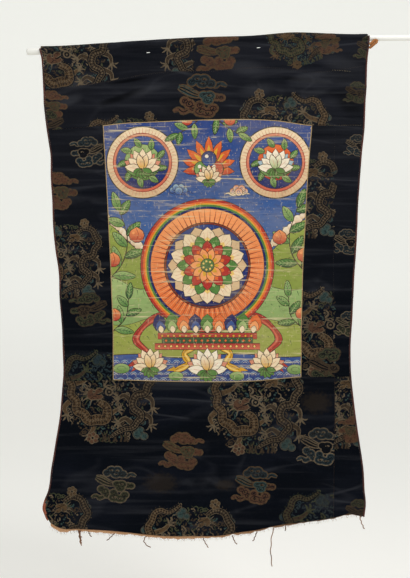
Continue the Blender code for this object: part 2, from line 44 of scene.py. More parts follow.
# The hung cloth: the same edges, seams, folds and rod as the solids. Metres.
cloth = {
    "gap": 0.0003,
    "thickness": 0.0012,
    "liningThickness": 0.001,
    "front": 0.004,             # front face ahead of the rod's axis
    "layerGap": 0.0006,
    "rodSlack": 0.0005,
    "troughDrop": 0.0115,
    "pipingRadius": 0.0017,
    "sideBlend": 0.12,
    "edges": (                  # z, left x, right x
        (0.03, -0.35, 0.345), (-0.011, -0.349, 0.345), (-0.036, -0.344, 0.342),
        (-0.087, -0.341, 0.34), (-0.137, -0.338, 0.337), (-0.188, -0.332, 0.3345),
        (-0.238, -0.324, 0.329), (-0.288, -0.323, 0.325), (-0.339, -0.32, 0.3215),
        (-0.389, -0.318, 0.319), (-0.44, -0.313, 0.3165), (-0.49, -0.306, 0.313),
        (-0.54, -0.304, 0.31), (-0.591, -0.3, 0.308), (-0.641, -0.298, 0.3045),
        (-0.692, -0.296, 0.305), (-0.742, -0.3, 0.31), (-0.792, -0.304, 0.3155),
        (-0.843, -0.313, 0.3235), (-0.893, -0.321, 0.3305), (-0.944, -0.328, 0.334),
        (-0.969, -0.337, 0.336), (-0.994, -0.334, 0.333), (-1.013, -0.324, 0.331)),
    "uprights": (               # z, painting's left and right x, seam's x
        (-0.05, -0.2165, 0.228, 0.275), (-0.175, -0.2145, 0.225, 0.275),
        (-0.25, -0.21, 0.2185, 0.272), (-0.38, -0.203, 0.211, 0.27),
        (-0.49, -0.198, 0.2055, 0.2705), (-0.59, -0.194, 0.203, 0.271),
        (-0.71, -0.193, 0.2015, 0.2715), (-1.04, -0.2, 0.205, 0.268)),
    "crest": ((-0.35, -0.0105), (-0.321, -0.0105), (-0.22, -0.0045), (-0.12, 0.0022), (0.0, 0.0085),
              (0.107, 0.0121), (0.183, 0.0184), (0.258, 0.0163), (0.309, 0.0148), (0.345, 0.0156)),
    "sleeveSeam": ((-0.345, -0.103), (-0.239, -0.091), (-0.088, -0.0658), (0.0, -0.0637),
                   (0.132, -0.0553), (0.235, -0.065), (0.342, -0.0511)),
    "paintingTop": ((-0.336, -0.1897), (-0.2145, -0.1785), (-0.174, -0.1736), (-0.115, -0.1708),
                    (0.0, -0.166), (0.095, -0.165), (0.149, -0.1677), (0.225, -0.178), (0.336, -0.1763)),
    "paintingBottom": ((-0.298, -0.7147), (-0.193, -0.7126), (-0.095, -0.7154), (0.0, -0.7168),
                       (0.095, -0.7154), (0.2015, -0.7063), (0.308, -0.7042)),
    "bottom": ((-0.324, -1.013), (-0.308, -1.0222), (-0.262, -1.0251), (-0.158, -1.0329), (-0.061, -1.0417),
               (0.002, -1.0402), (0.044, -1.0381), (0.128, -1.0234), (0.198, -1.0115), (0.265, -1.0016),
               (0.305, -0.9936), (0.331, -0.9991)),
    "hemHeight": ((-0.324, 0.005), (-0.28, 0.0032), (-0.2, 0.0045), (-0.12, 0.0036), (-0.05, 0.0052),
                  (0.03, 0.0034), (0.07, 0.0055), (0.11, 0.0034), (0.15, 0.0052), (0.2, 0.0032),
                  (0.26, 0.0026), (0.331, 0.003)),
    "rod": (                    # x, z, radius
        (-0.376, -0.0226, 0.0074), (-0.35, -0.0215, 0.0074), (-0.22, -0.0145, 0.0071),
        (-0.12, -0.007, 0.0069), (0.0, 0.0, 0.0067), (0.107, 0.0038, 0.0065),
        (0.183, 0.0064, 0.0063), (0.258, 0.0074, 0.0062), (0.345, 0.0064, 0.0061), (0.452, 0.0064, 0.006)),
    "hangPlaces": (-0.33, -0.17, 0.0, 0.17, 0.33),
    "hang": (                   # z, then how far forward at each place across
        (-0.05, 0.0, 0.0, 0.0, 0.0, 0.0), (-0.105, 0.0, 0.0, 0.0, 0.0, 0.0),
        (-0.15, 0.005, 0.002, 0.003, 0.001, 0.004), (-0.2, 0.007, 0.003, 0.001, 0.003, 0.006),
        (-0.3, 0.01, 0.003, 0.0, 0.003, 0.009), (-0.45, 0.013, 0.002, 0.001, 0.002, 0.012),
        (-0.6, 0.016, 0.003, 0.002, 0.003, 0.015), (-0.7, 0.016, 0.005, 0.004, 0.006, 0.016),
        (-0.8, 0.013, 0.006, 0.008, 0.008, 0.014), (-0.9, 0.012, 0.012, 0.01, 0.013, 0.014),
        (-0.97, 0.02, 0.016, 0.014, 0.018, 0.016), (-1.04, 0.016, 0.022, 0.02, 0.022, 0.024)),
    "creases": (                # x and z of the start, x and z of the end, height, half width
        (-0.33, -0.128, -0.1, -0.155, 0.0035, 0.026), (-0.12, -0.108, 0.05, -0.14, 0.0025, 0.026),
        (0.1, -0.14, 0.3, -0.118, -0.003, 0.024), (0.18, -0.1, 0.335, -0.103, 0.0035, 0.024),
        (-0.325, -0.222, -0.215, -0.216, 0.0035, 0.024), (-0.3, -0.262, 0.31, -0.255, 0.002, 0.034),
        (-0.31, -0.335, 0.305, -0.343, -0.0024, 0.034), (-0.3, -0.405, 0.31, -0.398, 0.0026, 0.036),
        (-0.3, -0.47, 0.3, -0.476, -0.0024, 0.034), (-0.29, -0.54, 0.3, -0.53, 0.003, 0.036),
        (-0.29, -0.612, 0.3, -0.604, -0.0026, 0.036), (-0.29, -0.672, 0.295, -0.666, 0.0026, 0.034),
        (-0.29, -0.742, 0.3, -0.732, -0.003, 0.034), (-0.3, -0.8, 0.31, -0.792, 0.004, 0.036),
        (-0.3, -0.862, 0.3, -0.85, -0.003, 0.034), (-0.31, -0.912, 0.32, -0.902, 0.003, 0.034),
        (-0.31, -0.962, 0.32, -0.95, -0.003, 0.03)),
    "fineCreases": (            # the same columns; only the dressed surface has these
        (-0.33, -0.118, -0.215, -0.114, 0.001, 0.007), (-0.25, -0.125, -0.12, -0.15, 0.0012, 0.009),
        (-0.15, -0.098, -0.02, -0.118, 0.0009, 0.008), (0.11, -0.09, 0.116, -0.112, 0.0012, 0.005),
        (0.195, -0.099, 0.338, -0.096, 0.0014, 0.006), (0.15, -0.122, 0.3, -0.112, -0.001, 0.008),
        (-0.318, -0.221, -0.255, -0.219, 0.0014, 0.006), (-0.322, -0.196, -0.216, -0.192, -0.0008, 0.006),
        (0.226, -0.478, 0.316, -0.474, 0.0012, 0.006), (0.212, -0.452, 0.312, -0.455, 0.001, 0.007),
        (0.21, -0.392, 0.318, -0.398, -0.001, 0.008), (-0.3, -0.512, -0.2, -0.52, 0.001, 0.007),
        (-0.298, -0.742, 0.04, -0.736, -0.001, 0.007), (0.08, -0.772, 0.3, -0.778, 0.0012, 0.008),
        (0.09, -0.8, 0.27, -0.812, 0.0012, 0.009), (-0.25, -0.838, -0.02, -0.842, 0.0009, 0.008),
        (-0.31, -0.884, 0.06, -0.88, 0.0009, 0.008), (0.13, -0.866, 0.23, -0.902, 0.0014, 0.008),
        (-0.3, -0.93, 0.12, -0.936, -0.0008, 0.008), (-0.1, -0.99, 0.25, -0.98, 0.0009, 0.009)),
    "ripples": (                # waves across and down, phase, height
        (11, 47, 0.3, 0.00022), (-17, 83, 1.7, 0.00018), (29, 131, 4.1, 0.00012),
        (53, -61, 2.2, 0.0001), (-71, 197, 5.0, 0.00007), (9, 263, 0.9, 0.00005)),
}


def hermite(t, width, start, end, startSlope, endSlope):
    inside = np.clip(t, 0, 1)
    rise = (2 * inside**3 - 3 * inside**2 + 1) * start + (3 * inside**2 - 2 * inside**3) * end
    bend = (inside**3 - 2 * inside**2 + inside) * startSlope + (inside**3 - inside**2) * endSlope
    beyond = np.where(t < 0, startSlope, endSlope) * (t - inside)
    return rise + (bend + beyond) * width


def smoothCurve(rows, column=1):
    rows = np.array(sorted(rows))
    xs, ys = rows[:, 0], rows[:, column]
    slopes = np.gradient(ys, xs)

    def at(x):
        x = np.asarray(x, float)
        k = np.clip(np.searchsorted(xs, x) - 1, 0, len(xs) - 2)
        width = xs[k + 1] - xs[k]
        return hermite((x - xs[k]) / width, width, ys[k], ys[k + 1], slopes[k], slopes[k + 1])
    return at


leftEdge, rightEdge = smoothCurve(cloth["edges"], 1), smoothCurve(cloth["edges"], 2)
crestLine, seamLine = smoothCurve(cloth["crest"]), smoothCurve(cloth["sleeveSeam"])
rodHeight, rodRadius = smoothCurve(cloth["rod"], 1), smoothCurve(cloth["rod"], 2)
bottomLine, hemHeight = smoothCurve(cloth["bottom"]), smoothCurve(cloth["hemHeight"])
hangCurves = [smoothCurve(cloth["hang"], k + 1) for k in range(len(cloth["hangPlaces"]))]
edgeInset = 2 * cloth["pipingRadius"] + cloth["gap"]
levelLines = (
    seamLine,
    smoothCurve(cloth["paintingTop"]),
    smoothCurve(cloth["paintingBottom"]),
    lambda x: bottomLine(x) + hemHeight(x) + cloth["gap"],
)
uprightLines = (
    lambda z: leftEdge(z) + edgeInset,
    smoothCurve(cloth["uprights"], 1),
    smoothCurve(cloth["uprights"], 2),
    smoothCurve(cloth["uprights"], 3),
    lambda z: rightEdge(z) - edgeInset,
)


# The distance between a sheet's mesh points where nothing is drawn
meshSpacing = {"brocade": 0.005, "sleeve": 0.0045, "painting": 0.006, "lining": 0.0055, "hem": 0.004}


def creaseHeight(x, z, creases):
    total = np.zeros_like(x)
    for x0, z0, x1, z1, height, halfWidth in creases:
        length = math.hypot(x1 - x0, z1 - z0)
        ax, az = (x1 - x0) / length, (z1 - z0) / length
        run = (x - x0) * ax + (z - z0) * az
        across = (x - x0) * az - (z - z0) * ax
        beyond = np.maximum(0, np.maximum(-run, run - length))
        reach = np.clip(np.hypot(across, beyond) / halfWidth, 0, 1)
        total += height * (0.5 + 0.5 * np.cos(np.pi * reach))
    return total


def rippleHeight(x, z):
    total = np.zeros_like(x)
    for kx, kz, phase, height in cloth["ripples"]:
        total += height * np.sin(kx * x + kz * z + phase + 1.3 * np.sin(0.37 * kz * z - 0.6 * kx * x))
    return total


def forwardOf(x, z):
    # how far the cloth's front stands forward of its straight hang
    values = np.stack([curve(z) for curve in hangCurves])
    places = np.array(cloth["hangPlaces"])
    slopes = np.gradient(values, places, axis=0)
    k = np.clip(np.searchsorted(places, x) - 1, 0, len(places) - 2)
    n = np.arange(len(x))
    width = places[k + 1] - places[k]
    hang = hermite((x - places[k]) / width, width, values[k, n], values[k + 1, n], slopes[k, n],
                   slopes[k + 1, n])
    fade = np.clip((seamLine(x) - z) / 0.03, 0, 1)
    folds = creaseHeight(x, z, cloth["creases"]) + creaseHeight(x, z, cloth["fineCreases"])
    folds = folds + rippleHeight(x, z)
    return (hang + folds) * fade


def forwardAt(x, z):
    return float(forwardOf(np.array([x]), np.array([z]))[0])


def hungAt(depth):
    # a map from the flat cloth, as x and z, to where it hangs
    def place(x, z):
        return np.stack([x, depth - forwardOf(x, z), z], axis=1)
    return place


def sleeveSection(x):
    # the sleeve's outer line at each x: its y, its z, and the run of cloth from the seam, which starts at z
    axis, radius = rodHeight(x), rodRadius(x) + cloth["rodSlack"] + cloth["thickness"]
    crest, seam = crestLine(x), seamLine(x) + cloth["gap"] / 2
    trough = axis - cloth["troughDrop"]
    backFace = -cloth["front"] + 2 * cloth["thickness"] + cloth["layerGap"]
    y, z = [], []
    for share in np.linspace(0, 1, 12):
        y.append(-cloth["front"] - 0.0015 * math.sin(math.pi * share) + 0 * x)
        z.append(seam + share * (trough - seam))
    for degrees in range(-50, 231, 8):
        angle = math.radians(degrees)
        rise = crest - axis if 0 < degrees < 180 else radius
        y.append(-math.cos(angle) * radius)
        z.append(axis + math.sin(angle) * rise)
    for share in np.linspace(1, 0, 8):
        y.append(backFace + 0 * x)
        z.append(seam + share * (trough - seam))
    y, z = np.stack(y), np.stack(z)
    steps = np.hypot(np.diff(y, axis=0), np.diff(z, axis=0))
    run = np.concatenate([seam[None], seam + np.cumsum(steps, axis=0)])
    return y, z, run


def sleevePlace(x, run):
    y, z, runs = sleeveSection(x)
    n = np.arange(len(x))
    k = np.clip((runs <= run).sum(axis=0) - 1, 0, len(runs) - 2)
    t = (run - runs[k, n]) / (runs[k + 1, n] - runs[k, n])
    yHere, zHere = (row[k, n] + t * (row[k + 1, n] - row[k, n]) for row in (y, z))
    front = np.clip((rodHeight(x) - run) / 0.01, 0, 1) * np.clip((run - seamLine(x)) / 0.01, 0, 1)
    yHere = yHere - front * (rippleHeight(x, run) * 1.4 + creaseHeight(x, run, cloth["fineCreases"]))
    seam = seamLine(x)
    first, last = sleeveEnds()
    leftShare = np.clip(1 - (x - first) / cloth["sideBlend"], 0, 1)
    rightShare = np.clip(1 - (last - x) / cloth["sideBlend"], 0, 1)
    shift = leftShare * (leftEdge(zHere) - leftEdge(seam)) + rightShare * (rightEdge(zHere) - rightEdge(seam))
    return np.stack([x + shift, yHere, zHere], axis=1)


def sleeveEnds():
    ends = []
    for upright, x in ((uprightLines[0], -0.34), (uprightLines[-1], 0.34)):
        for _ in range(12):
            x = float(upright(seamLine(x)))
        ends.append(x)
    return ends


# Drawing. A picture is a list of (outline, colour name) in the order in which it is laid down.
def spline(points, perSpan, closed=False):
    p = np.array(points, float)
    n = len(p)
    out = []
    for k in range(n if closed else n - 1):
        before, start, end, after = ((p[(k + i) % n] if closed else p[np.clip(k + i, 0, n - 1)])
                                     for i in (-1, 0, 1, 2))
        for t in np.arange(perSpan) / perSpan:
            rise = start * (2 * t**3 - 3 * t**2 + 1) + end * (3 * t**2 - 2 * t**3)
            rise += (end - before) * (t**3 - 2 * t**2 + t) / 2
            out.append(rise + (after - start) * (t**3 - t**2) / 2)
    if not closed:
        out.append(p[-1])
    return np.array(out)


def spread(values, count):
    values = np.atleast_1d(values)
    return np.interp(np.linspace(0, 1, count), np.linspace(0, 1, len(values)), values)


def unit(rows):
    return rows / np.maximum(np.linalg.norm(rows, axis=1, keepdims=True), 1e-9)


def directions(line):
    return unit(np.gradient(line, axis=0))


def sideways(ahead):
    # a quarter turn to the left of each direction
    return np.stack([-ahead[:, 1], ahead[:, 0]], axis=1)


def runAlong(line):
    return np.concatenate([[0], np.cumsum(np.linalg.norm(np.diff(line, axis=0), axis=1))])


def around(x, z, radius, angle):
    return x + radius * math.cos(angle), z + radius * math.sin(angle)


def stroke(line, widths, colour):
    # a line of changing width, as one four-sided shape for each step along it
    line = np.array(line, float)
    side = sideways(directions(line)) * spread(widths, len(line))[:, None] / 2
    left, right = line + side, line - side
    return [(np.array([left[k], right[k], right[k + 1], left[k + 1]]), colour) for k in range(len(line) - 1)]


def curl(points, widths, colour, perSpan):
    return stroke(spline(points, perSpan), widths, colour)


def disc(x, z, radius, colour, sides, tall=1.0):
    angle = np.linspace(0, 2 * np.pi, sides, endpoint=False)
    return [(np.stack([x + radius * np.cos(angle), z + radius * tall * np.sin(angle)], axis=1), colour)]


def rings(x, z, radius, sides, rows):
    # discs laid one over another, each a share of the radius
    return [shape for share, colour in rows for shape in disc(x, z, radius * share, colour, sides)]


def arc(x, z, radius, width, colour, start, sweep, sides, tall=1.0):
    angle = np.radians(np.linspace(start, start + sweep, sides + 1))
    line = np.stack([x + radius * np.cos(angle), z + radius * tall * np.sin(angle)], axis=1)
    return stroke(line, width, colour)


def spiral(x, z, radius, turns, width, colour, start=0.0, hand=1):
    t = np.linspace(0, 1, int(9 * turns) + 2)
    angle = math.radians(start) + hand * 2 * np.pi * turns * t
    r = radius * (1 - 0.86 * t)
    return stroke(np.stack([x + r * np.cos(angle), z + r * np.sin(angle)], axis=1), width, colour)


def doubleArea(p):
    # twice the area inside an outline, above 0 if it runs counter-clockwise
    return float(np.sum(p[:, 0] * np.roll(p[:, 1], -1) - p[:, 1] * np.roll(p[:, 0], -1)))


def grown(outline, by):
    p = np.array(outline, float)
    ahead = unit(np.roll(p, -1, axis=0) - np.roll(p, 1, axis=0))
    return p - sideways(ahead) * (by if doubleArea(p) > 0 else -by)


def outlined(outline, colour, edge, width):
    return [(grown(outline, width), edge), (np.array(outline, float), colour)]


def turnedTo(outline, x, z, degrees):
    c, s = around(0, 0, 1, math.radians(degrees))
    across, up = outline[:, 0], outline[:, 1]
    return np.stack([x + across * c - up * s, z + across * s + up * c], axis=1)


def moved(shapes, x, z, size=1.0, turn=0.0, flip=1, tints=None):
    # a motif drawn round the origin, set in its place
    out = []
    for outline, colour in shapes:
        if tints:
            colour = ">".join(tints.get(name, name) for name in colour.split(">"))
        out.append((turnedTo(outline * size * np.array([flip, 1.0]), x, z, turn), colour))
    return out


def insideOf(starts, ends, x, z):
    # the even-odd rule, for points against a closed set of edges
    inside = np.zeros(len(x), bool)
    for first in range(0, len(starts), 64):
        a, b = starts[first:first + 64, :, None], ends[first:first + 64, :, None]
        crosses = (a[:, 1] > z) != (b[:, 1] > z)
        rise = np.where(crosses, b[:, 1] - a[:, 1], 1.0)
        at = (b[:, 0] - a[:, 0]) * (z - a[:, 1]) / rise + a[:, 0]
        inside ^= ((crosses & (x < at)).sum(axis=0) % 2).astype(bool)
    return inside


def triangulated(points, edges, traced=False):
    flat, _, triangles, origins, *_ = delaunay_2d_cdt([Vector(p) for p in points], edges, [], 0, 1e-7, traced)
    return np.array([tuple(p) for p in flat]), np.array(triangles), origins


def gridPoints(low, high, spacing):
    points = []
    for k, z in enumerate(np.arange(low[1] + spacing / 2, high[1], spacing)):
        points += [(x + (k % 2) * spacing / 2, z) for x in np.arange(low[0] + spacing / 4, high[0], spacing)]
    return points


def facedOut(flat, triangles):
    corners = flat[triangles]
    turned = np.cross(corners[:, 1] - corners[:, 0], corners[:, 2] - corners[:, 0]) < 0
    triangles[turned] = triangles[turned][:, ::-1]
    return triangles


def hungSurface(place, flat):
    # where flat points hang, and which way the cloth faces there
    x, z = flat[:, 0], flat[:, 1]
    step = 0.0008
    normals = np.cross(place(x + step, z) - place(x - step, z), place(x, z + step) - place(x, z - step))
    return place(x, z), normals / np.linalg.norm(normals, axis=1, keepdims=True)


def placed(name, data):
    made = bpy.data.objects.new(name, data)
    bpy.context.scene.collection.objects.link(made)
    return made


def drawnSheet(name, border, picture, palette, spacing, place, wall, finish, behindShare=1.8):
    # Cloth with a picture in it: a closed sheet whose faces follow the picture's edges, hung by `place`.
    # A face takes the last shape laid over it. A colour "low>high" blends up the shape, "hole" cuts it out.
    border = np.array(border, float)
    low, high = border.min(axis=0), border.max(axis=0)
    picture = [s for s in picture if (s[0].max(axis=0) > low).all() and (s[0].min(axis=0) < high).all()]
    points, edges = [], []
    for outline in [border] + [s[0] for s in picture]:
        first, count = len(points), len(outline)
        points += [tuple(p) for p in outline]
        edges += [(first + k, first + (k + 1) % count) for k in range(count)]
    flat, triangles, _ = triangulated(points + gridPoints(low, high, spacing), edges)
    centre = flat[triangles].mean(axis=1)
    kept = insideOf(border, np.roll(border, -1, axis=0), centre[:, 0], centre[:, 1])
    triangles, centre = triangles[kept], centre[kept]
    order = np.argsort(centre[:, 0])
    triangles, centre = triangles[order], centre[order]
    top = np.zeros(len(triangles), int)
    for k, (outline, _) in enumerate(picture):
        lowest, highest = outline.min(axis=0), outline.max(axis=0)
        a, b = np.searchsorted(centre[:, 0], (lowest[0], highest[0]))
        near = a + np.nonzero((centre[a:b, 1] > lowest[1]) & (centre[a:b, 1] < highest[1]))[0]
        if len(near):
            hit = insideOf(outline, np.roll(outline, -1, axis=0), centre[near, 0], centre[near, 1])
            top[near[hit]] = k + 1
    cut = np.array([False] + [colour == "hole" for _, colour in picture])[top]
    triangles, top = triangles[~cut], top[~cut]
    used, triangles = np.unique(triangles, return_inverse=True)
    flat = flat[used]
    triangles = facedOut(flat, triangles.reshape(-1, 3))
    here, normals = hungSurface(place, flat)

    # the back keeps to the same rim with far fewer faces
    seen = set()
    for a, b, c in triangles.tolist():
        seen |= {(a, b), (b, c), (c, a)}
    rim = np.array([(a, b) for a, b in seen if (b, a) not in seen])
    rim = rim[np.lexsort((rim[:, 1], rim[:, 0]))]
    ring = np.unique(rim)
    number = np.zeros(len(flat), int)
    number[ring] = np.arange(len(ring))
    coarse = gridPoints(low, high, spacing * behindShare)
    back, behind, origins = triangulated([tuple(p) for p in flat[ring]] + coarse,
                                         [tuple(e) for e in number[rim].tolist()], True)
    middle = back[behind].mean(axis=1)
    behind = behind[insideOf(flat[rim[:, 0]], flat[rim[:, 1]], middle[:, 0], middle[:, 1])]
    match = np.zeros(len(ring), int)
    for k, origin in enumerate(origins):
        for given in origin:
            if given < len(ring):
                match[given] = k
    behind = facedOut(back, behind)[:, ::-1]
    backHere, backNormals = hungSurface(place, back)
    backHere = backHere - backNormals * wall
    backHere[match] = here[ring] - normals[ring] * wall
    keep = np.unique(np.concatenate([behind.ravel(), match]))
    renumber = np.zeros(len(back), int)
    renumber[keep] = np.arange(len(keep))
    behind, backHere, backNormals = renumber[behind], backHere[keep], backNormals[keep]
    below = np.zeros(len(flat), int)
    below[ring] = renumber[match]
    count, total = len(here), len(triangles)
    walls = np.stack([rim[:, 1], rim[:, 0], below[rim[:, 0]] + count, below[rim[:, 1]] + count], axis=1)
    mesh = bpy.data.meshes.new(name)
    mesh.from_pydata(np.concatenate([here, backHere]).tolist(), [],
                     triangles.tolist() + (behind + count).tolist() + walls.tolist())
    mesh.materials.append(finish)

    z = flat[:, 1]
    dye = np.ones((total, 3, 4), np.float32)
    dye[:, :, 3] = 0
    dye[:, :, :3] = palette["ground"]
    for k, (outline, colour) in enumerate(picture):
        mine = np.nonzero(top == k + 1)[0]
        if not len(mine):
            continue
        start, *end = (np.array(palette[part]) for part in colour.split(">"))
        base, span = outline[:, 1].min(), np.ptp(outline[:, 1])
        share = np.clip((z[triangles[mine]] - base) / max(span, 1e-9), 0, 1)[:, :, None]
        dye[mine, :, :3] = start + ((end[0] if end else start) - start) * share
        dye[mine, :, 3] = colour != "ground"
    plain = np.tile(np.array([*palette["ground"], 0.0], np.float32), (3 * len(behind) + 4 * len(rim), 1))
    allDye = np.concatenate([dye.reshape(-1, 4), plain])
    rimFlat = flat[np.stack([rim[:, 1], rim[:, 0], rim[:, 0], rim[:, 1]], axis=1)]
    allFlat = np.concatenate([flat[triangles].reshape(-1, 2), back[keep][behind].reshape(-1, 2),
                              rimFlat.reshape(-1, 2)])
    outward = np.cross(here[rim[:, 1]] - here[rim[:, 0]], normals[rim[:, 0]])
    outward /= np.maximum(np.linalg.norm(outward, axis=1, keepdims=True), 1e-12)
    allNormals = np.concatenate([normals[triangles].reshape(-1, 3), -backNormals[behind].reshape(-1, 3),
                                 np.repeat(outward, 4, axis=0)])
    mesh.attributes.new("dye", "FLOAT_COLOR", "CORNER").data.foreach_set("color", allDye.ravel())
    mesh.uv_layers.new(name="cloth").data.foreach_set("uv", allFlat.astype(np.float32).ravel())
    mesh.shade_smooth()
    mesh.normals_split_custom_set(allNormals.tolist())
    print(f"{name}: {total + len(behind) + 2 * len(rim)} triangles, {len(picture)} shapes drawn")
    return placed(name, mesh)


def blockBorder(across, down, spacing=0.004):
    # the outline of a piece between two upright and two level lines, half a gap short of each
    left, right = uprightLines[across[0]], uprightLines[across[1]]
    top, bottom = levelLines[down[0]], levelLines[down[1]]
    corners = []
    for upright, level in ((left, bottom), (right, bottom), (right, top), (left, top)):
        x, z = 0.0, -0.5
        for _ in range(20):
            z = float(level(x))
            x = float(upright(z))
        corners.append((x, z))
    half = cloth["gap"] / 2
    out = []
    for k, line in enumerate((bottom, right, top, left)):
        a, b = corners[k], corners[(k + 1) % 4]
        for t in np.linspace(0, 1, max(2, int(math.dist(a, b) / spacing)), endpoint=False):
            x, z = a[0] + t * (b[0] - a[0]), a[1] + t * (b[1] - a[1])
            if line in (bottom, top):
                out.append((x, float(line(x)) + (half if line is bottom else -half)))
            else:
                out.append((float(line(z)) + (half if line is left else -half), z))
    return out


# Materials
def ink(r, g, b):
    # a colour as seen on a screen, 0 to 255, as a shader needs it
    return tuple((v / 255 / 12.92 if v <= 10 else ((v / 255 + 0.055) / 1.055) ** 2.4) for v in (r, g, b))


def put(tree, kind, inputs=None, **settings):
    # a node with its settings, and its inputs linked or set
    node = tree.nodes.new(kind)
    for key, value in settings.items():
        setattr(node, key, value)
    for key, value in (inputs or {}).items():
        if isinstance(value, bpy.types.NodeSocket):
            tree.links.new(value, node.inputs[key])
        else:
            node.inputs[key].default_value = value
    return node


def calc(tree, operation, *values):
    return put(tree, "ShaderNodeMath", dict(enumerate(values)), operation=operation).outputs[0]


def blended(tree, share, a, b):
    a, b = ((*c, 1.0) if isinstance(c, tuple) else c for c in (a, b))
    return put(tree, "ShaderNodeMix", {0: share, 6: a, 7: b}, data_type="RGBA").outputs[2]


def stepUp(tree, value, low, high, top=1.0):
    return put(tree, "ShaderNodeMapRange", {"Value": value, "From Min": low, "From Max": high, "To Max": top},
               interpolation_type="SMOOTHSTEP").outputs[0]


def washed(tree, under, over, value, low, high, strength=1.0):
    # one colour laid over another as a value goes from low to high
    return blended(tree, stepUp(tree, value, low, high, strength), under, over)


def noise(tree, vector, scale, detail, stretch=(1, 1, 1), roughness=0.55):
    vector = put(tree, "ShaderNodeMapping", {"Vector": vector, "Scale": stretch}).outputs[0]
    return put(tree, "ShaderNodeTexNoise",
               {"Vector": vector, "Scale": scale, "Detail": detail, "Roughness": roughness}).outputs[0]


def wave(tree, vector, direction, scale, distortion):
    return put(tree, "ShaderNodeTexWave", {"Vector": vector, "Scale": scale, "Distortion": distortion},
               bands_direction=direction).outputs[1]


def alongAxis(tree, vector, axis):
    return put(tree, "ShaderNodeSeparateXYZ", {0: vector}).outputs[axis]


def wovenDye(tree):
    # the drawn colour, and whether a thread of a figure lies there
    node = put(tree, "ShaderNodeAttribute", attribute_name="dye")
    return node.outputs["Color"], node.outputs["Alpha"]


def startMaterial(name, roughness, **constants):
    made = bpy.data.materials.new(name)
    made.use_nodes = True
    tree = made.node_tree
    shader = tree.nodes["Principled BSDF"]
    shader.inputs["Roughness"].default_value = roughness
    for key, value in constants.items():
        shader.inputs[key.replace("_", " ")].default_value = value
    return made, tree, shader


def dress(tree, shader, colour, height, distance, strength):
    # the surface's colour and its relief
    tree.links.new(colour, shader.inputs["Base Color"])
    bump = put(tree, "ShaderNodeBump", {"Height": height, "Distance": distance, "Strength": strength})
    tree.links.new(bump.outputs[0], shader.inputs["Normal"])


def flatPlace(tree):
    # where a point lies on the flat cloth, in metres
    return put(tree, "ShaderNodeUVMap", uv_map="cloth").outputs[0]


def objectPlace(tree):
    return put(tree, "ShaderNodeTexCoord").outputs["Object"]


brocadeLook = {
    "ground": ink(2, 5, 12),
    "groundWorn": ink(8, 12, 21),
    # a pale grey navy: worn thread in the grain and the wrinkle lines, and painted sheen on the folds and the
    # rolled bands
    "rubbed": ink(56, 57, 62),
    # painted shade for the hollows of the folds
    "hollow": ink(1, 2, 5),
    # painted highlights and painted shade on the folds
    "folds": (                  # x, z, half length, half width, turn, how light or dark
        (-0.262, -0.086, 0.058, 0.02, 0.3, 0.46), (-0.286, -0.128, 0.04, 0.016, 0.45, 0.4),
        (-0.178, -0.12, 0.08, 0.011, 0.34, -0.9), (-0.16, -0.084, 0.06, 0.006, 0.16, -0.9),
        (-0.12, -0.104, 0.06, 0.012, 0.3, 0.34), (0.086, -0.058, 0.058, 0.022, -0.1, 0.4),
        (0.11, -0.104, 0.05, 0.018, 0.1, 0.34), (0.286, -0.048, 0.064, 0.02, -0.2, 0.3),
        (0.206, -0.082, 0.066, 0.007, -0.12, -0.9), (0.3, -0.132, 0.05, 0.026, -0.6, -0.8),
        (0.224, -0.112, 0.05, 0.01, 0.24, 0.3), (-0.06, -0.052, 0.06, 0.006, -0.08, -0.8)),
    # the first colour greys the cloth more towards the top; soil tints soiled thread and stains
    "dust": ink(40, 40, 45), "soil": ink(46, 38, 28),
    # the two rows on the rolled bands are painted sheen on their ridges and painted shade between them; the
    # grain row is wear; the height row greys the cloth towards the top
    "wear": (                   # tint, what it follows, from, to, strength
        ("dust", "height", -0.7, -0.08, 0.26), ("rubbed", "rolled", 0.5, 0.72, 0.26),
        ("ground", "rolled", 0.46, 0.34, 0.6), ("rubbed", "grain", 0.55, 0.75, 0.1)),
    "wrinkles": ((7.0, (0.3, 1.7, 1.0), 0.36), (9.0, (0.5, 1.2, 1.0), 0.14)),
    "weftsPerMetre": 1400,
    "stains": ((-0.092, -0.927, 0.044, 0.028), (0.042, -0.931, 0.026, 0.014), (0.233, -0.759, 0.04, 0.028)),
}


def softPatch(tree, at, x, z, long, wide, turn=0.0):
    # the distance from a patch's middle, 1 at its rim
    patch = {"Vector": at, "Location": (x, z, 0.0), "Rotation": (0.0, 0.0, turn), "Scale": (long, wide, 1.0)}
    near = put(tree, "ShaderNodeMapping", patch, vector_type="TEXTURE").outputs[0]
    return put(tree, "ShaderNodeVectorMath", {0: near}, operation="LENGTH").outputs["Value"]


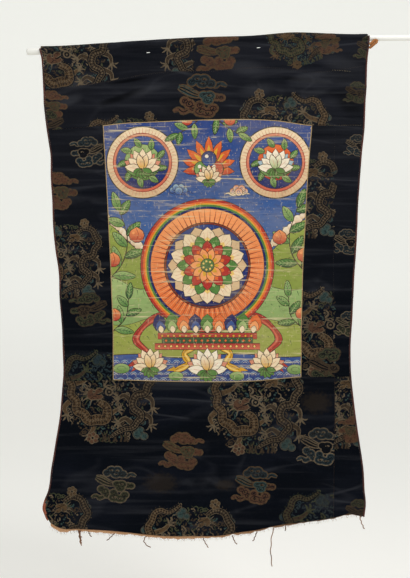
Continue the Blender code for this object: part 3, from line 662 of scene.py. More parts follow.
def brocadeFinish():
    made, tree, shader = startMaterial("silkBrocade", 0.5, Specular_IOR_Level=0.04)
    look = brocadeLook
    at = flatPlace(tree)
    dye, figure = wovenDye(tree)
    height = alongAxis(tree, at, 1)
    broad = noise(tree, at, 6.0, 4.0, (1.0, 1.5, 1.0))
    # the rolled bands give relief and roughness, and painted sheen and painted shade in the colour
    rolled = noise(tree, at, 10.0, 5.0, (0.3, 6.0, 1.0))  # level bands left by rolling
    grain = noise(tree, at, 520.0, 2.0, (0.5, 1.0, 1.0))
    clumps = noise(tree, at, 150.0, 3.0)
    weft = wave(tree, at, "Y", look["weftsPerMetre"] / 6.2832, 0.6)
    ground = washed(tree, look["ground"], look["groundWorn"], broad, 0.38, 0.68)
    # wear, and painted sheen and painted shade along the rolled bands
    for tint, value, low, high, strength in look["wear"]:
        value = {"height": height, "rolled": rolled, "grain": grain}[value]
        ground = washed(tree, ground, look[tint], value, low, high, strength)
    # painted highlight or painted shade in soft patches along the folds, broken up by the rolled bands
    for x, z, long, wide, turn, strength in look["folds"]:
        reach = calc(tree, "SUBTRACT", softPatch(tree, at, x, z, long, wide, turn), 0.35)
        near = calc(tree, "MULTIPLY_ADD", rolled, 0.7, reach)
        ground = washed(tree, ground, look["rubbed" if strength > 0 else "hollow"], near, 1.0, 0.2,
                        abs(strength))
    # thin pale lines along old wrinkles
    for scale, stretch, strength in look["wrinkles"]:
        wrinkles = noise(tree, at, scale, 1.0, stretch, 0.4)
        off = calc(tree, "ABSOLUTE", calc(tree, "SUBTRACT", wrinkles, 0.5))
        shown = calc(tree, "MULTIPLY", stepUp(tree, off, 0.022, 0.0, strength),
                     stepUp(tree, broad, 0.42, 0.58))
        ground = blended(tree, shown, ground, look["rubbed"])
    # the figure's thread is thinner where it has worn, and soiled in patches
    worn = calc(tree, "MULTIPLY_ADD", grain, 0.5, calc(tree, "MULTIPLY", clumps, 0.5))
    tone = washed(tree, dye, look["soil"], broad, 0.36, 0.66, 0.3)
    thread = washed(tree, ground, tone, worn, 0.3, 0.54, 0.94)
    colour = blended(tree, figure, ground, thread)
    for x, z, wide, tall in look["stains"]:
        reach = calc(tree, "SUBTRACT", softPatch(tree, at, x, z, wide, tall), 0.55)
        reach = calc(tree, "MULTIPLY_ADD", clumps, 1.1, reach)
        colour = washed(tree, colour, look["soil"], reach, 1.0, 0.4, 0.42)
    rough = put(tree, "ShaderNodeMapRange", {"Value": rolled, "To Min": 0.36, "To Max": 0.66}).outputs[0]
    tree.links.new(rough, shader.inputs["Roughness"])
    relief = calc(tree, "MULTIPLY_ADD", weft, 0.3, calc(tree, "MULTIPLY", grain, 0.7))
    relief = calc(tree, "MULTIPLY_ADD", rolled, 2.2, relief)
    relief = calc(tree, "MULTIPLY_ADD", figure, 0.5, relief)
    dress(tree, shader, colour, relief, 0.0005, 0.7)
    return made


brocadePalette = {
    "ground": brocadeLook["ground"],
    "night": ink(6, 8, 13),
    "gold": ink(82, 64, 44),
    "darkGold": ink(60, 49, 37),
    "copper": ink(84, 59, 44),
    "rust": ink(76, 49, 36),
    "olive": ink(60, 62, 44),
    "teal": ink(50, 68, 66),
    "slate": ink(36, 48, 52),
    "beige": ink(100, 87, 69),
}
brocade = brocadeFinish()


# The figures woven in the brocade, each drawn in a circle or box of about unit size.
def evenSteps(line, spacing):
    run = runAlong(line)
    at = np.arange(spacing / 2, run[-1], spacing)
    ahead = directions(line)
    place = np.stack([np.interp(at, run, line[:, k]) for k in (0, 1)], axis=1)
    ahead = np.stack([np.interp(at, run, ahead[:, k]) for k in (0, 1)], axis=1)
    return zip(place, ahead, at / run[-1])


def serpent(points, widths, fill, crestSide):
    # a scaly body with a row of fins on one side
    line = spline(points, 6)
    along = runAlong(line)
    sway = 0.034 * np.sin(2 * math.pi * along / 0.36) * np.sin(math.pi * along / along[-1])
    line = line + sideways(directions(line)) * sway[:, None]
    fins, scales = [], []
    for k, (p, a, t) in enumerate(evenSteps(line, 0.062)):
        half = np.interp(t, np.linspace(0, 1, len(widths)), widths) / 2
        side = np.array([-a[1], a[0]])
        out = side * crestSide
        fin = [p + out * half * 0.8 - a * 0.028, p + out * (half + 0.06) - a * 0.05,
               p + out * half * 0.8 + a * 0.028]
        fins.append((np.array(fin), "line" if k % 2 else "edge"))
        for lane in (-0.62, 0.0, 0.62):
            middle = p + out * half * lane + a * (0.03 if lane == 0.0 else 0.0)
            scales += stroke([middle - side * half * 0.26, middle + a * 0.026, middle + side * half * 0.26],
                             0.02, "edge" if lane == 0.0 else "vein")
    wide = spread(widths, len(line))
    body = stroke(line, wide + 0.07, "night") + stroke(line, wide + 0.02, "edge") + stroke(line, wide, fill)
    return fins + body + scales


def limb(points, fill, heading):
    # a leg with four claws spread about a heading
    line, size = spline(points, 4), 0.12
    shapes = stroke(line, (0.14, 0.08), "edge") + stroke(line, (0.1, 0.045), fill)
    for turn in (-62, -22, 20, 60):
        tip = around(*points[-1], size, math.radians(heading + turn))
        end = around(*tip, size * 0.45, math.radians(heading + turn * 1.5))
        shapes += stroke([points[-1], tip, end], (0.045, 0.034, 0.012), "edge")
    return shapes


def dragonHead(fill):
    skull = [(-0.5, 0.02), (-0.36, 0.34), (-0.08, 0.42), (0.12, 0.24), (0.42, 0.32), (0.62, 0.2),
             (0.58, 0.04), (0.26, 0.02), (0.14, -0.08), (0.44, -0.16), (0.48, -0.32), (0.26, -0.4),
             (-0.04, -0.32), (-0.34, -0.24)]
    shapes = []
    for root, tip in (((-0.3, 0.28), (-0.86, 0.72)), ((-0.1, 0.38), (-0.5, 0.92))):
        bend = ((root[0] + tip[0]) / 2 - 0.1, (root[1] + tip[1]) / 2 - 0.06)
        shapes += curl([root, bend, tip], (0.13, 0.03), "edge", 3)
    for k, (dx, dz) in enumerate(((-0.9, 0.3), (-1.0, 0.05), (-0.95, -0.2), (-0.8, -0.42), (-0.5, -0.6))):
        shapes += curl([(-0.3, 0.0 - 0.06 * k), (dx * 0.62, dz * 0.6 + 0.06), (dx, dz)], (0.17, 0.02),
                       "mane" if k % 2 else "edge", 3)
    shapes += outlined(skull, fill, "edge", 0.05)
    shapes += curl([(0.1, -0.03), (0.32, -0.1), (0.5, -0.02)], 0.07, "vein", 2)
    shapes += disc(0.02, 0.2, 0.11, "edge", 9) + disc(0.03, 0.2, 0.055, "vein", 7)
    shapes += spiral(0.47, 0.2, 0.1, 1.0, 0.035, "vein")
    shapes += curl([(0.6, 0.14), (0.86, 0.3), (0.8, 0.58), (0.98, 0.7)], (0.06, 0.02), "edge", 3)
    shapes += curl([(0.26, -0.38), (0.36, -0.62), (0.2, -0.78)], (0.06, 0.02), "edge", 3)
    shapes += curl([(-0.32, -0.18), (-0.05, -0.1), (0.1, -0.16)], 0.035, "vein", 3)
    return shapes


def blossom(x, z, size, fill):
    shapes = []
    for k in range(6):
        place = around(x, z, 0.62 * size, 2 * math.pi * (k + 0.3) / 6)
        shapes += disc(*place, 0.44 * size, "edge", 9) + disc(*place, 0.31 * size, fill, 8)
    return shapes + disc(x, z, 0.34 * size, "edge", 9) + disc(x, z, 0.18 * size, "vein", 7)


def wisp(x, z, size, colour, turn, hand):
    # two small scrolls, one with a long wavy end
    reach = [(0.9, 0.4 * hand), (1.6, 0.75 * hand), (2.3, 0.35 * hand), (3.0, 0.7 * hand)]
    shapes = spiral(0, 0, 1.0, 1.3, 0.3, colour, 30, hand) + curl(reach, (0.4, 0.08), colour, 3)
    shapes += spiral(-1.2, -0.5, 0.62, 1.1, 0.26, colour, 80, -hand)
    return moved(shapes, x, z, size, turn)


def bank(lobes, fill):
    # part of a cloud: lobes as x, z, radius and height for width, lined inside their shared outline
    shapes = []
    for inset, colour in ((-0.05, "edge"), (0.0, fill), (0.055, "vein"), (0.085, fill), (0.135, "edge"),
                          (0.165, fill)):
        for x, z, radius, tall in lobes:
            if radius * tall - inset > 0.03:
                shapes += disc(x, z, radius - inset, colour, 14, (radius * tall - inset) / (radius - inset))
    for k, (x, z, radius, tall) in enumerate(lobes):
        shapes += spiral(x, z, radius * 0.3, 0.8, 0.04, "vein", 70 * k)
    return shapes


def feather(points, fill):
    # a long lobe hatched along its length
    line = spline(points, 4)
    wide = spread((0.35, 0.9, 1.0, 0.8, 0.45), len(line)) * 0.32
    side = sideways(directions(line)) * wide[:, None]
    shapes = stroke(line, wide + 0.11, "edge") + stroke(line, wide, fill)
    for lane, colour in ((-0.3, "vein"), (-0.1, "edge"), (0.1, "vein"), (0.3, "edge")):
        shapes += stroke(line[1:-1] + side[1:-1] * lane, 0.045, colour)
    return shapes


def tail(points, fill):
    widths = (0.26, 0.14, 0.2, 0.1, 0.14, 0.03)
    shapes = curl(points, [w + 0.09 for w in widths], "edge", 4) + curl(points, widths, fill, 4)
    return shapes + curl(points[:-1], 0.04, "vein", 4)


def groundSpecks():
    # short curls and pairs of dots in rows, each placed and tinted by its own chance
    shapes = []
    for row in range(-8, 9):
        for column in range(-8, 9):
            x, z = 0.125 * (column + 0.5 * (row % 2)), 0.108 * row
            chance = math.sin(12.9 * column + 78.2 * row) * 43758.5
            chance -= math.floor(chance)
            if math.hypot(x, z) > 0.98 or chance < 0.08:
                continue
            tint = ("line", "edge", "line", "mane", "haze")[int(chance * 97) % 5]
            lean = 6.28 * chance
            c, d = 0.055 * math.cos(lean), 0.055 * math.sin(lean)
            if chance > 0.45:
                hook = [(x - c, z - d), (x - 0.5 * d, z + 0.5 * c), (x + c, z + d),
                        (x + 0.6 * d, z - 0.6 * c)]
                shapes += stroke(hook, (0.034, 0.04, 0.016), tint)
            else:
                shapes += disc(x, z, 0.026, tint, 6) + disc(x + c, z + d, 0.018, tint, 5)
    return shapes


# The two dragons: legs with the heading of their claws, the body's path, its widths and the crest's side,
# then the head's x, z, size and turn. The first is at the right and behind, the second at the left.
dragons = {
    "B": (
        (([(0.8, 0.1), (0.98, -0.02), (1.0, -0.2)], -70), ([(0.74, -0.3), (0.95, -0.42), (0.96, -0.58)], -60),
         ([(0.52, -0.05), (0.36, 0.08), (0.24, 0.02)], 190),
         ([(0.55, -0.56), (0.38, -0.44), (0.24, -0.52)], 200)),
        [(0.42, 0.72), (0.66, 0.86), (0.9, 0.68), (0.96, 0.4), (0.79, 0.15), (0.52, -0.05),
         (0.66, -0.27), (0.72, -0.46), (0.52, -0.64), (0.22, -0.74), (0.06, -0.86)],
        (0.08, 0.12, 0.14, 0.14, 0.14, 0.13, 0.11, 0.08, 0.04), 1, (0.38, 0.6, 0.26, 200)),
    "A": (
        (([(-0.82, 0.34), (-0.56, 0.42), (-0.42, 0.54)], 45),
         ([(-0.84, -0.02), (-1.0, -0.18), (-0.93, -0.34)], -100),
         ([(-0.4, -0.48), (-0.34, -0.66), (-0.44, -0.8)], -100),
         ([(-0.04, -0.42), (0.1, -0.3), (0.2, -0.24)], 20)),
        [(-0.18, 0.96), (-0.42, 0.8), (-0.62, 0.86), (-0.84, 0.62), (-0.86, 0.28), (-0.76, -0.06),
         (-0.64, -0.3), (-0.38, -0.47), (-0.08, -0.44), (-0.03, -0.22), (-0.22, -0.06)],
        (0.03, 0.07, 0.11, 0.14, 0.16, 0.2, 0.22, 0.18, 0.13), -1, (-0.32, 0.1, 0.34, 18)),
}


def dragonRoundel():
    shapes = groundSpecks()
    for count, reach, size, phase in ((11, 0.91, 0.08, 0.15), (8, 0.62, 0.08, 0.4), (4, 0.26, 0.076, 0.7)):
        for k in range(count):
            angle = 2 * math.pi * (k + phase) / count
            turn = math.degrees(angle) + 105 + 25 * math.sin(3 * k)
            shapes += wisp(*around(0, 0, reach, angle), size, ("edge", "line", "mane")[k % 3], turn,
                           1 if k % 2 else -1)
    for k in range(11):
        x, lean = -0.4 + 0.085 * k, 0.05 * math.sin(2.4 * k)
        blade = [(x, -0.97), (x + lean, -0.86), (x - lean, -0.72 - 0.04 * (k % 3))]
        shapes += curl(blade, (0.05, 0.04, 0.012), "line", 3)
    for x, z, size in ((0.66, -0.8, 0.15), (-0.16, 0.76, 0.13), (0.88, 0.64, 0.12), (-0.98, 0.42, 0.11)):
        lobes = bank(((0, 0, 0.7, 1.0), (1.0, -0.3, 0.6, 0.9), (0.4, 0.6, 0.6, 0.9)), "haze")
        shapes += moved(lobes, x, z, size)
    for letter, (legs, path, widths, crestSide, head) in dragons.items():
        for points, heading in legs:
            shapes += limb(points, "body" + letter, heading)
        shapes += serpent(path, widths, "body" + letter, crestSide)
        shapes += moved(dragonHead("head" + letter), *head)
    # the pearl between them, with its flame
    shapes += curl([(-0.14, 0.52), (-0.04, 0.42), (-0.1, 0.3), (0.04, 0.24)], (0.02, 0.05, 0.03), "edge", 4)
    shapes += curl([(0.08, 0.42), (0.16, 0.3), (0.08, 0.18), (0.18, 0.06), (0.12, -0.06)], (0.02, 0.05, 0.02),
                   "edge", 4)
    for radius, colour, sides in ((0.095, "edge", 12), (0.06, "vein", 10), (0.028, "edge", 8)):
        shapes += disc(0.01, 0.16, radius, colour, sides)
    return shapes + blossom(-0.36, -0.88, 0.14, "headA") + blossom(0.62, 0.98, 0.12, "headB")


def woolCloud():
    # three banks, one over another, with trailing tails
    shapes = []
    for draw, rows, fill in (
            (tail, ((0.34, 0.54), (0.6, 0.46), (0.82, 0.54), (1.08, 0.44)), "lobeA"),
            (bank,
             ((-0.34, 0.6, 0.17, 0.9), (-0.12, 0.72, 0.22, 0.8), (0.16, 0.7, 0.24, 0.8),
              (0.42, 0.54, 0.2, 0.8), (0.1, 0.54, 0.24, 0.7)), "lobeA"),
            (feather, ((-0.88, 0.4), (-0.62, 0.3), (-0.32, 0.14), (-0.02, 0.04)), "lobeB"),
            (bank, ((0.84, -0.04, 0.15, 0.85), (0.66, -0.02, 0.15, 0.9)), "lobeC"),
            (bank, ((0.14, 0.06, 0.19, 0.8), (0.36, 0.04, 0.24, 0.75), (0.3, -0.14, 0.22, 0.75)), "lobeB"),
            (tail, ((-0.44, -0.5), (-0.68, -0.62), (-0.86, -0.5), (-1.1, -0.6)), "lobeC"),
            (bank, ((-0.62, -0.18, 0.17, 0.9), (-0.44, -0.3, 0.2, 0.85), (-0.28, -0.46, 0.21, 0.8)), "lobeC"),
            (bank, ((-0.02, -0.36, 0.17, 0.9), (0.02, -0.6, 0.27, 0.7), (0.3, -0.66, 0.28, 0.62),
                    (0.52, -0.48, 0.19, 0.85)), "lobeC")):
        shapes += draw(rows, fill)
    return shapes


roundel, cloud = dragonRoundel(), woolCloud()
dragonParts = ("bodyA", "headA", "bodyB", "headB", "mane", "haze", "line", "edge", "vein")
cloudParts = ("lobeA", "lobeB", "lobeC", "edge", "vein")
tints = {                       # a colour for each part
    "gold": ("gold", "copper", "darkGold", "gold", "olive", "teal", "darkGold", "beige", "night"),
    "olive": ("olive", "gold", "darkGold", "copper", "teal", "teal", "olive", "gold", "night"),
    "dim": ("darkGold", "gold", "olive", "olive", "slate", "slate", "slate", "olive", "night"),
    "copperCloud": ("copper", "olive", "copper", "gold", "rust"),
    "tealCloud": ("slate", "teal", "copper", "gold", "night"),
    "oliveCloud": ("olive", "darkGold", "olive", "darkGold", "night"),
    "slateCloud": ("slate", "olive", "olive", "beige", "night"),
    "lineCloud": ("slate", "night", "slate", "beige", "night"),
}


# What each piece was cut with: x, z, size, turn, mirror, tint.
# A tint for clouds lays a cloud, any other a roundel.
woven = {
    "sleeve": (
        (-0.286, -0.043, 0.088, 8, 1, "gold"), (0.012, -0.014, 0.088, -10, -1, "gold"),
        (0.196, 0.012, 0.066, 20, 1, "olive"), (0.258, -0.006, 0.026, 0, -1, "copperCloud"),
        (0.342, -0.016, 0.03, 0, 1, "oliveCloud")),
    "sleevePatch": (
        (0.026, -0.026, 0.046, 12, 1, "copperCloud"),),
    "heading": (
        (-0.01, -0.118, 0.052, 0, 1, "tealCloud"), (0.17, -0.2, 0.09, 0, -1, "gold"),
        (-0.17, -0.244, 0.086, 0, 1, "gold"), (-0.325, -0.138, 0.036, 0, 1, "copperCloud"),
        (-0.33, -0.182, 0.038, 0, -1, "oliveCloud"), (0.318, -0.11, 0.026, 0, 1, "oliveCloud")),
    "leftStrip": (
        (-0.244, -0.236, 0.036, 0, -1, "lineCloud"), (-0.312, -0.318, 0.044, 0, 1, "copperCloud"),
        (-0.302, -0.462, 0.08, 0, 1, "gold"), (-0.241, -0.566, 0.04, 0, -1, "oliveCloud"),
        (-0.212, -0.742, 0.092, 0, 1, "dim")),
    "rightStrip": (
        (0.192, -0.33, 0.088, 0, 1, "gold"), (0.262, -0.612, 0.094, 0, 1, "gold"),
        (0.262, -0.69, 0.05, 0, 1, "oliveCloud")),
    "rightSelvedge": (
        (0.318, -0.222, 0.026, 0, 1, "lineCloud"), (0.296, -0.424, 0.03, 0, 1, "lineCloud"),
        (0.3, -0.596, 0.03, 0, 1, "slateCloud")),
    "skirt": (
        (-0.202, -0.752, 0.092, 0, 1, "gold"), (0.105, -0.774, 0.094, 0, 1, "gold"),
        (-0.049, -0.862, 0.044, 0, 1, "copperCloud"), (-0.19, -0.931, 0.043, 0, 1, "slateCloud"),
        (0.103, -0.933, 0.044, 0, 1, "tealCloud"), (0.24, -0.852, 0.044, 0, 1, "lineCloud"),
        (-0.036, -1.062, 0.092, 0, 1, "gold"), (-0.332, -1.03, 0.088, 0, 1, "gold"),
        (0.254, -1.036, 0.094, 0, 1, "dim")),
    "skirtStrip": (
        (0.262, -0.772, 0.086, 0, 1, "gold"), (0.312, -0.816, 0.032, 0, -1, "copperCloud"),
        (0.32, -0.988, 0.03, 0, 1, "oliveCloud")),
}


def wovenPicture(name):
    picture = []
    for x, z, size, turn, flip, tint in woven[name]:
        motif, parts = (cloud, cloudParts) if tint.endswith("Cloud") else (roundel, dragonParts)
        picture += moved(motif, x, z, size, turn, flip, dict(zip(parts, tints[tint])))
    return picture


def clipped(picture, low, high):
    # only the shapes whose middle lies between two x values
    return [s for s in picture if low <= s[0][:, 0].mean() <= high]


rightPicture = clipped(wovenPicture("rightStrip"), 0.0, 0.271)
rightPicture += clipped(wovenPicture("rightSelvedge"), 0.271, 1.0)
pieces, strip = {}, {}
for node, name, across, down, picture in (  # across and down: between which upright and level lines
        ("heading", "headingBrocade", (0, 4), (0, 1), wovenPicture("heading")),
        ("left_strip", "leftBrocade", (0, 1), (1, 2), wovenPicture("leftStrip")),
        ("right_strip", "rightBrocade", (2, 4), (1, 2), rightPicture),
        ("skirt", "skirtBrocade", (0, 3), (2, 3), wovenPicture("skirt")),
        ("skirt_strip", "skirtStripBrocade", (3, 4), (2, 3), wovenPicture("skirtStrip"))):
    strip[node] = blockBorder(across, down)
    pieces[node] = drawnSheet(name, strip[node], picture, brocadePalette, meshSpacing["brocade"],
                              hungAt(-cloth["front"]), cloth["thickness"], brocade)


# The sleeve round the rod
sleeve = {
    "patchSeam": -0.024,        # x of the upright join in the sleeve
    "slits": (-0.1197, 0.1119),
    "slitWidth": 0.0105,
    "slitHeight": 0.0021,
    "slitDrop": 0.027,
}


def sleeveBorder():
    first, last = sleeveEnds()
    xs = np.append(np.arange(first, last, 0.004)[:-1], last)
    _, _, run = sleeveSection(xs)
    low, high = run[0], run[-1]
    out = list(zip(xs, low))
    out += [(last, z) for z in np.arange(low[-1] + 0.004, high[-1] - 0.003, 0.004)]
    out += zip(xs[::-1], high[::-1])
    out += [(first, z) for z in np.arange(high[0] - 0.004, low[0] + 0.003, -0.004)]
    return out


def slitShapes():
    shapes = []
    for x in sleeve["slits"]:
        _, _, run = sleeveSection(np.array([x]))
        z = float(crestLine(x)) - sleeve["slitDrop"]
        for middle in (z, run[-1, 0] - (z - run[0, 0])):
            wide, tall = sleeve["slitWidth"] / 2, sleeve["slitHeight"] / 2
            rows = ((-1, 0.1), (-0.6, 1), (0.3, 0.85), (1, 0.2), (0.7, -0.8), (-0.4, -1))
            shapes.append((np.array([(x + dx * wide, middle + dz * tall) for dx, dz in rows]), "hole"))
    return shapes


joined = sleeve["patchSeam"]
sleevePicture = [s for s in wovenPicture("sleeve") if not joined < s[0][:, 0].mean() < 0.127]
sleevePicture += clipped(wovenPicture("sleevePatch"), joined, 1.0)
joinLine = [(joined + 0.0006 * (k % 2), z) for k, z in enumerate(np.arange(-0.066, 0.09, 0.004))]
sleevePicture += stroke(joinLine, 0.0012, "night")
strip["rod_sleeve"] = sleeveBorder()
pieces["rod_sleeve"] = drawnSheet("sleeveBrocade", strip["rod_sleeve"], sleevePicture + slitShapes(),
                                  brocadePalette, meshSpacing["sleeve"], sleevePlace, cloth["thickness"],
                                  brocade)


# The painting: lotus medallions, clouds, hills, fruit and a pond in flat pigment with dark outlines.
paint = {
    "centre": (0.005, -0.442),
    "outline": 0.0013,
    "scratches": (              # scale, stretch, from, to, strength
        (90.0, (0.1, 2.6, 1.0), 0.56, 0.65, 0.8), (60.0, (0.3, 1.6, 1.0), 0.6, 0.68, 0.55)),
}
paintPalette = {
    "ground": ink(176, 148, 104),
    "skyTop": ink(28, 54, 118), "skyLow": ink(66, 98, 148),
    "ultra": ink(16, 26, 88), "sky": ink(48, 78, 138), "pale": ink(150, 172, 180),
    "leaf": ink(76, 120, 56), "leafPale": ink(150, 172, 108), "leafDark": ink(44, 76, 48),
    "hill": ink(92, 114, 44), "hillPale": ink(144, 156, 70), "olive": ink(136, 132, 66),
    "orange": ink(216, 98, 42), "orangePale": ink(234, 150, 92), "red": ink(166, 46, 40),
    "redPale": ink(196, 92, 70), "yellow": ink(208, 152, 40), "yellowPale": ink(228, 192, 104),
    "cream": ink(232, 208, 172), "creamDark": ink(206, 172, 132), "pink": ink(206, 130, 104),
    "line": ink(48, 36, 30), "lineRed": ink(128, 42, 32),
    "white": ink(236, 222, 198), "canvas": ink(170, 142, 98),
}


def lined(outline, colour):
    return outlined(outline, colour, "line", paint["outline"])


def petalShape(length, width):
    rows = ((0, 0.1), (0.22, 0.74), (0.52, 1.0), (0.8, 0.66), (1.0, 0.0))
    upper = [(a * length, b * width / 2) for a, b in rows]
    return np.array(upper + [(a, -b) for a, b in upper[-2::-1]])


def rays(x, z, inner, outer, count, widths, colours):
    shapes = []
    for k in range(count):
        ends = [around(x, z, reach, 2 * math.pi * k / count) for reach in (inner, outer)]
        shapes += stroke(ends, widths, colours[k % len(colours)])
    return shapes


def petalRing(x, z, inner, length, width, count, fill, start, tipTint, veins=None):
    shapes = []
    for k in range(count):
        angle = start + 360.0 * k / count
        root = around(x, z, inner, math.radians(angle))
        shapes += lined(turnedTo(petalShape(length, width), *root, angle), fill)
        shapes.append((turnedTo(petalShape(length * 0.6, width * 0.55), *root, angle), tipTint))
        for lane in (-0.22, 0.0, 0.22) if veins else ():
            vein = np.array([(0.25, lane * 0.5), (0.82, lane)]) * (length, width)
            shapes += stroke(turnedTo(vein, *root, angle), (0.0009, 0.0004), veins)
    return shapes


def lotus(x, z, size, outer="cream", inner="pink", heart="yellow"):
    # an open lotus from the side: back, middle and front petals
    shapes = []
    for fan, length, width, fill in (((24, 52, 128, 156), 1.0, 0.42, inner),
                                     ((66, 90, 114), 1.05, 0.42, outer),
                                     ((8, 38, 142, 172), 0.9, 0.4, outer), ((74, 106), 0.78, 0.36, outer)):
        for angle in fan:
            petal = turnedTo(petalShape(size * length, size * width), x, z, angle)
            shapes += lined(petal, f"{heart if fan == (74, 106) else fill}>{fill}")
            vein = np.array([(0.25, 0.0), (0.7, 0.0)]) * size * length
            shapes += stroke(turnedTo(vein, x, z, angle), 0.0007, "pink")
    for angle in (200, 230, 260, 290, 320, 345):
        shapes += lined(turnedTo(petalShape(size * 0.5, size * 0.26), x, z, angle), "leaf")
    return shapes


def leafShape(x, z, length, width, turn):
    rows = np.array([(0, 0), (0.16, 0.34), (0.42, 0.5), (0.72, 0.36), (1, 0), (0.76, -0.34), (0.44, -0.46),
                     (0.16, -0.3)])
    fill, veins = ("leafDark>leaf", "leafPale") if turn % 180 < 90 else ("leaf>leafPale", "leafDark")
    shapes = lined(turnedTo(spline(rows * (length, width), 3, True), x, z, turn), fill)
    rib = turnedTo(np.array([(0.04, 0), (0.5, 0.03), (0.94, 0)]) * (length, width), x, z, turn)
    shapes += stroke(rib, 0.0011, veins)
    for share in (0.22, 0.4, 0.58, 0.74):
        for side in (1, -1):
            vein = np.array([(share, 0.0), (share + 0.14, side * 0.3)]) * (length, width)
            shapes += stroke(turnedTo(vein, x, z, turn), 0.0007, veins)
    return shapes


def fruitShape(x, z, radius):
    rows = [(-0.2, -0.92), (0.3, -0.9), (0.8, -0.55), (0.98, 0.0), (0.78, 0.55), (0.36, 0.85), (0.0, 1.05),
            (-0.36, 0.85), (-0.78, 0.55), (-0.98, 0.0), (-0.8, -0.55)]
    outline = np.array(rows) * radius + (x, z)
    cleft = [(x - 0.1 * radius, z + 0.95 * radius), (x + 0.22 * radius, z + 0.2 * radius),
             (x, z - 0.6 * radius)]
    shapes = lined(outline, "red>orangePale") + curl(cleft, 0.0009, "lineRed", 3)
    return shapes + disc(x - 0.42 * radius, z + 0.3 * radius, 0.18 * radius, "orangePale", 8)


def bough(points, length, fruit):
    # a twig with leaves to both sides, then its fruit as place along it, distance aside and radius
    line = spline(points, 6)
    shapes = stroke(line, (0.003, 0.0014), "line")
    for k, (p, a, t) in enumerate(evenSteps(line, length * 0.5)):
        heading = math.degrees(math.atan2(a[1], a[0])) + (52 if k % 2 else -52)
        shapes += leafShape(*p, length * (1.05 - 0.3 * t), length * 0.4, heading)
    tip = math.degrees(math.atan2(*(line[-1] - line[-2])[::-1]))
    shapes += leafShape(*line[-1], length * 0.9, length * 0.38, tip)
    for t, aside, radius in fruit:
        k = int(t * (len(line) - 2))
        a = line[k + 1] - line[k]
        p = line[k] + np.array([-a[1], a[0]]) / np.linalg.norm(a) * aside
        shapes += fruitShape(*p, radius)
    return shapes


def puffCloud(x, z, size, flip, fill, shade):
    shapes = []
    for points in ([(-0.3, -0.35), (-1.0, -0.5), (-1.6, -0.3), (-2.2, -0.5)],
                   [(0.5, -0.4), (1.1, -0.3), (1.7, -0.45)]):
        shapes += curl(points, (0.62, 0.36, 0.05), "line", 4) + curl(points, (0.5, 0.26, 0.0), shade, 4)
    for px, pz, r in ((-0.9, 0.0, 0.42), (0.95, 0.0, 0.4), (-0.35, 0.42, 0.48), (0.42, 0.38, 0.5),
                      (0.0, -0.12, 0.55)):
        shapes += disc(px, pz, r + 0.07, "line", 14) + disc(px, pz, r, f"{shade}>{fill}", 14)
        shapes += spiral(px, pz, r * 0.66, 1.2, 0.07, "sky", 200 if px < 0 else -20, 1 if px < 0 else -1)
    return moved(shapes, x, z, size, 0, flip)


def mistEdge(points, radius):
    # a scalloped cream bank along the top of a hill
    line = spline(points, 8)
    steps = [p for p, _, _ in evenSteps(line, radius * 1.5)]
    shapes = []
    for grow, colour in ((0.0012, "line"), (0.0, "creamDark>white")):
        for k, p in enumerate(steps):
            shapes += disc(*p, radius * (1 + 0.25 * math.sin(2.3 * k)) + grow, colour, 12)
    return shapes


def hillShape(points, fill):
    line = spline(points, 6)
    base = np.array([(line[-1][0], -0.3), (line[0][0], -0.3)])
    shapes = [(np.concatenate([line, base]), fill)] + stroke(line, (0.0006, 0.0016, 0.0006), "line")
    for row in range(4):
        for p, a, t in evenSteps(line, 0.013 + 0.002 * row):
            side = np.array([a[1], -a[0]])
            start = p + side * (0.003 + 0.016 * row) + a * 0.004 * math.sin(17 * t + row)
            blade = [start, start + side * (0.007 + 0.004 * math.sin(31 * t)) + a * 0.003]
            shapes += stroke(blade, (0.0014, 0.0003), "hillPale" if row % 2 else "leafDark")
    return shapes


def ribbon(points, width, fill, shade):
    # a flat sash: a fold line along it and a forked end
    line = spline(points, 6)
    ahead = directions(line)
    side = sideways(ahead)
    wide = width * (0.75 + 0.35 * np.sin(np.linspace(0, 3 * np.pi, len(line))) ** 2)
    fork = [line[-1] + ahead[-1] * width * far + side[-1] * width * aside
            for far, aside in ((0, 0.7), (1.3, 0.5), (0.3, 0), (1.5, -0.6), (0, -0.7))]
    shapes = lined(fork, fill) + stroke(line, wide + 2 * paint["outline"], "line") + stroke(line, wide, fill)
    shapes += stroke(line + side * wide[:, None] * 0.22, wide * 0.25, shade)
    return shapes + stroke(line - side * wide[:, None] * 0.18, 0.0008, "line")


def haloRings(x, z, radius):
    # an orange band with fine rays inside thin rainbow rings, round a deep blue field
    shapes = rings(x, z, radius, 64, (
        (1.03, "line"), (1.02, "red"), (0.985, "orange"), (0.955, "yellow"), (0.935, "leaf"),
        (0.905, "ultra"), (0.875, "line"), (0.868, "orange>orangePale")))
    shapes += rays(x, z, 0.64 * radius, 0.86 * radius, 120, (0.0022, 0.0005), ("orangePale", "lineRed"))
    field = ((0.665, "line"), (0.652, "lineRed"), (0.635, "line"), (0.625, "ultra>skyTop"))
    return shapes + rings(x, z, radius, 48, field)


def petalMedallion(x, z, radius, field, flower):
    # the small roundels: a rayed cream rim, a red ring and a lotus with leaves on a coloured field
    shapes = rings(x, z, radius, 40, ((1.03, "line"), (1, "creamDark>cream")))
    shapes += rays(x, z, 0.82 * radius, 0.98 * radius, 60, (0.0013, 0.0005), ("pink",))
    shapes += rings(x, z, radius, 36, (
        (0.84, "lineRed"), (0.82, "redPale>pink"), (0.755, "line"), (0.74, "ultra>sky"), (0.52, "line"),
        (0.505, field)))
    for angle in range(15, 375, 40):
        place = around(x, z, 0.44 * radius, math.radians(angle))
        shapes += leafShape(*place, 0.3 * radius, 0.17 * radius, angle + 35)
    for turn in (20, 160):
        shapes += leafShape(x, z - 0.34 * radius, 0.5 * radius, 0.24 * radius, turn)
    return shapes + lotus(x, z - 0.2 * radius, 0.56 * radius, *flower)


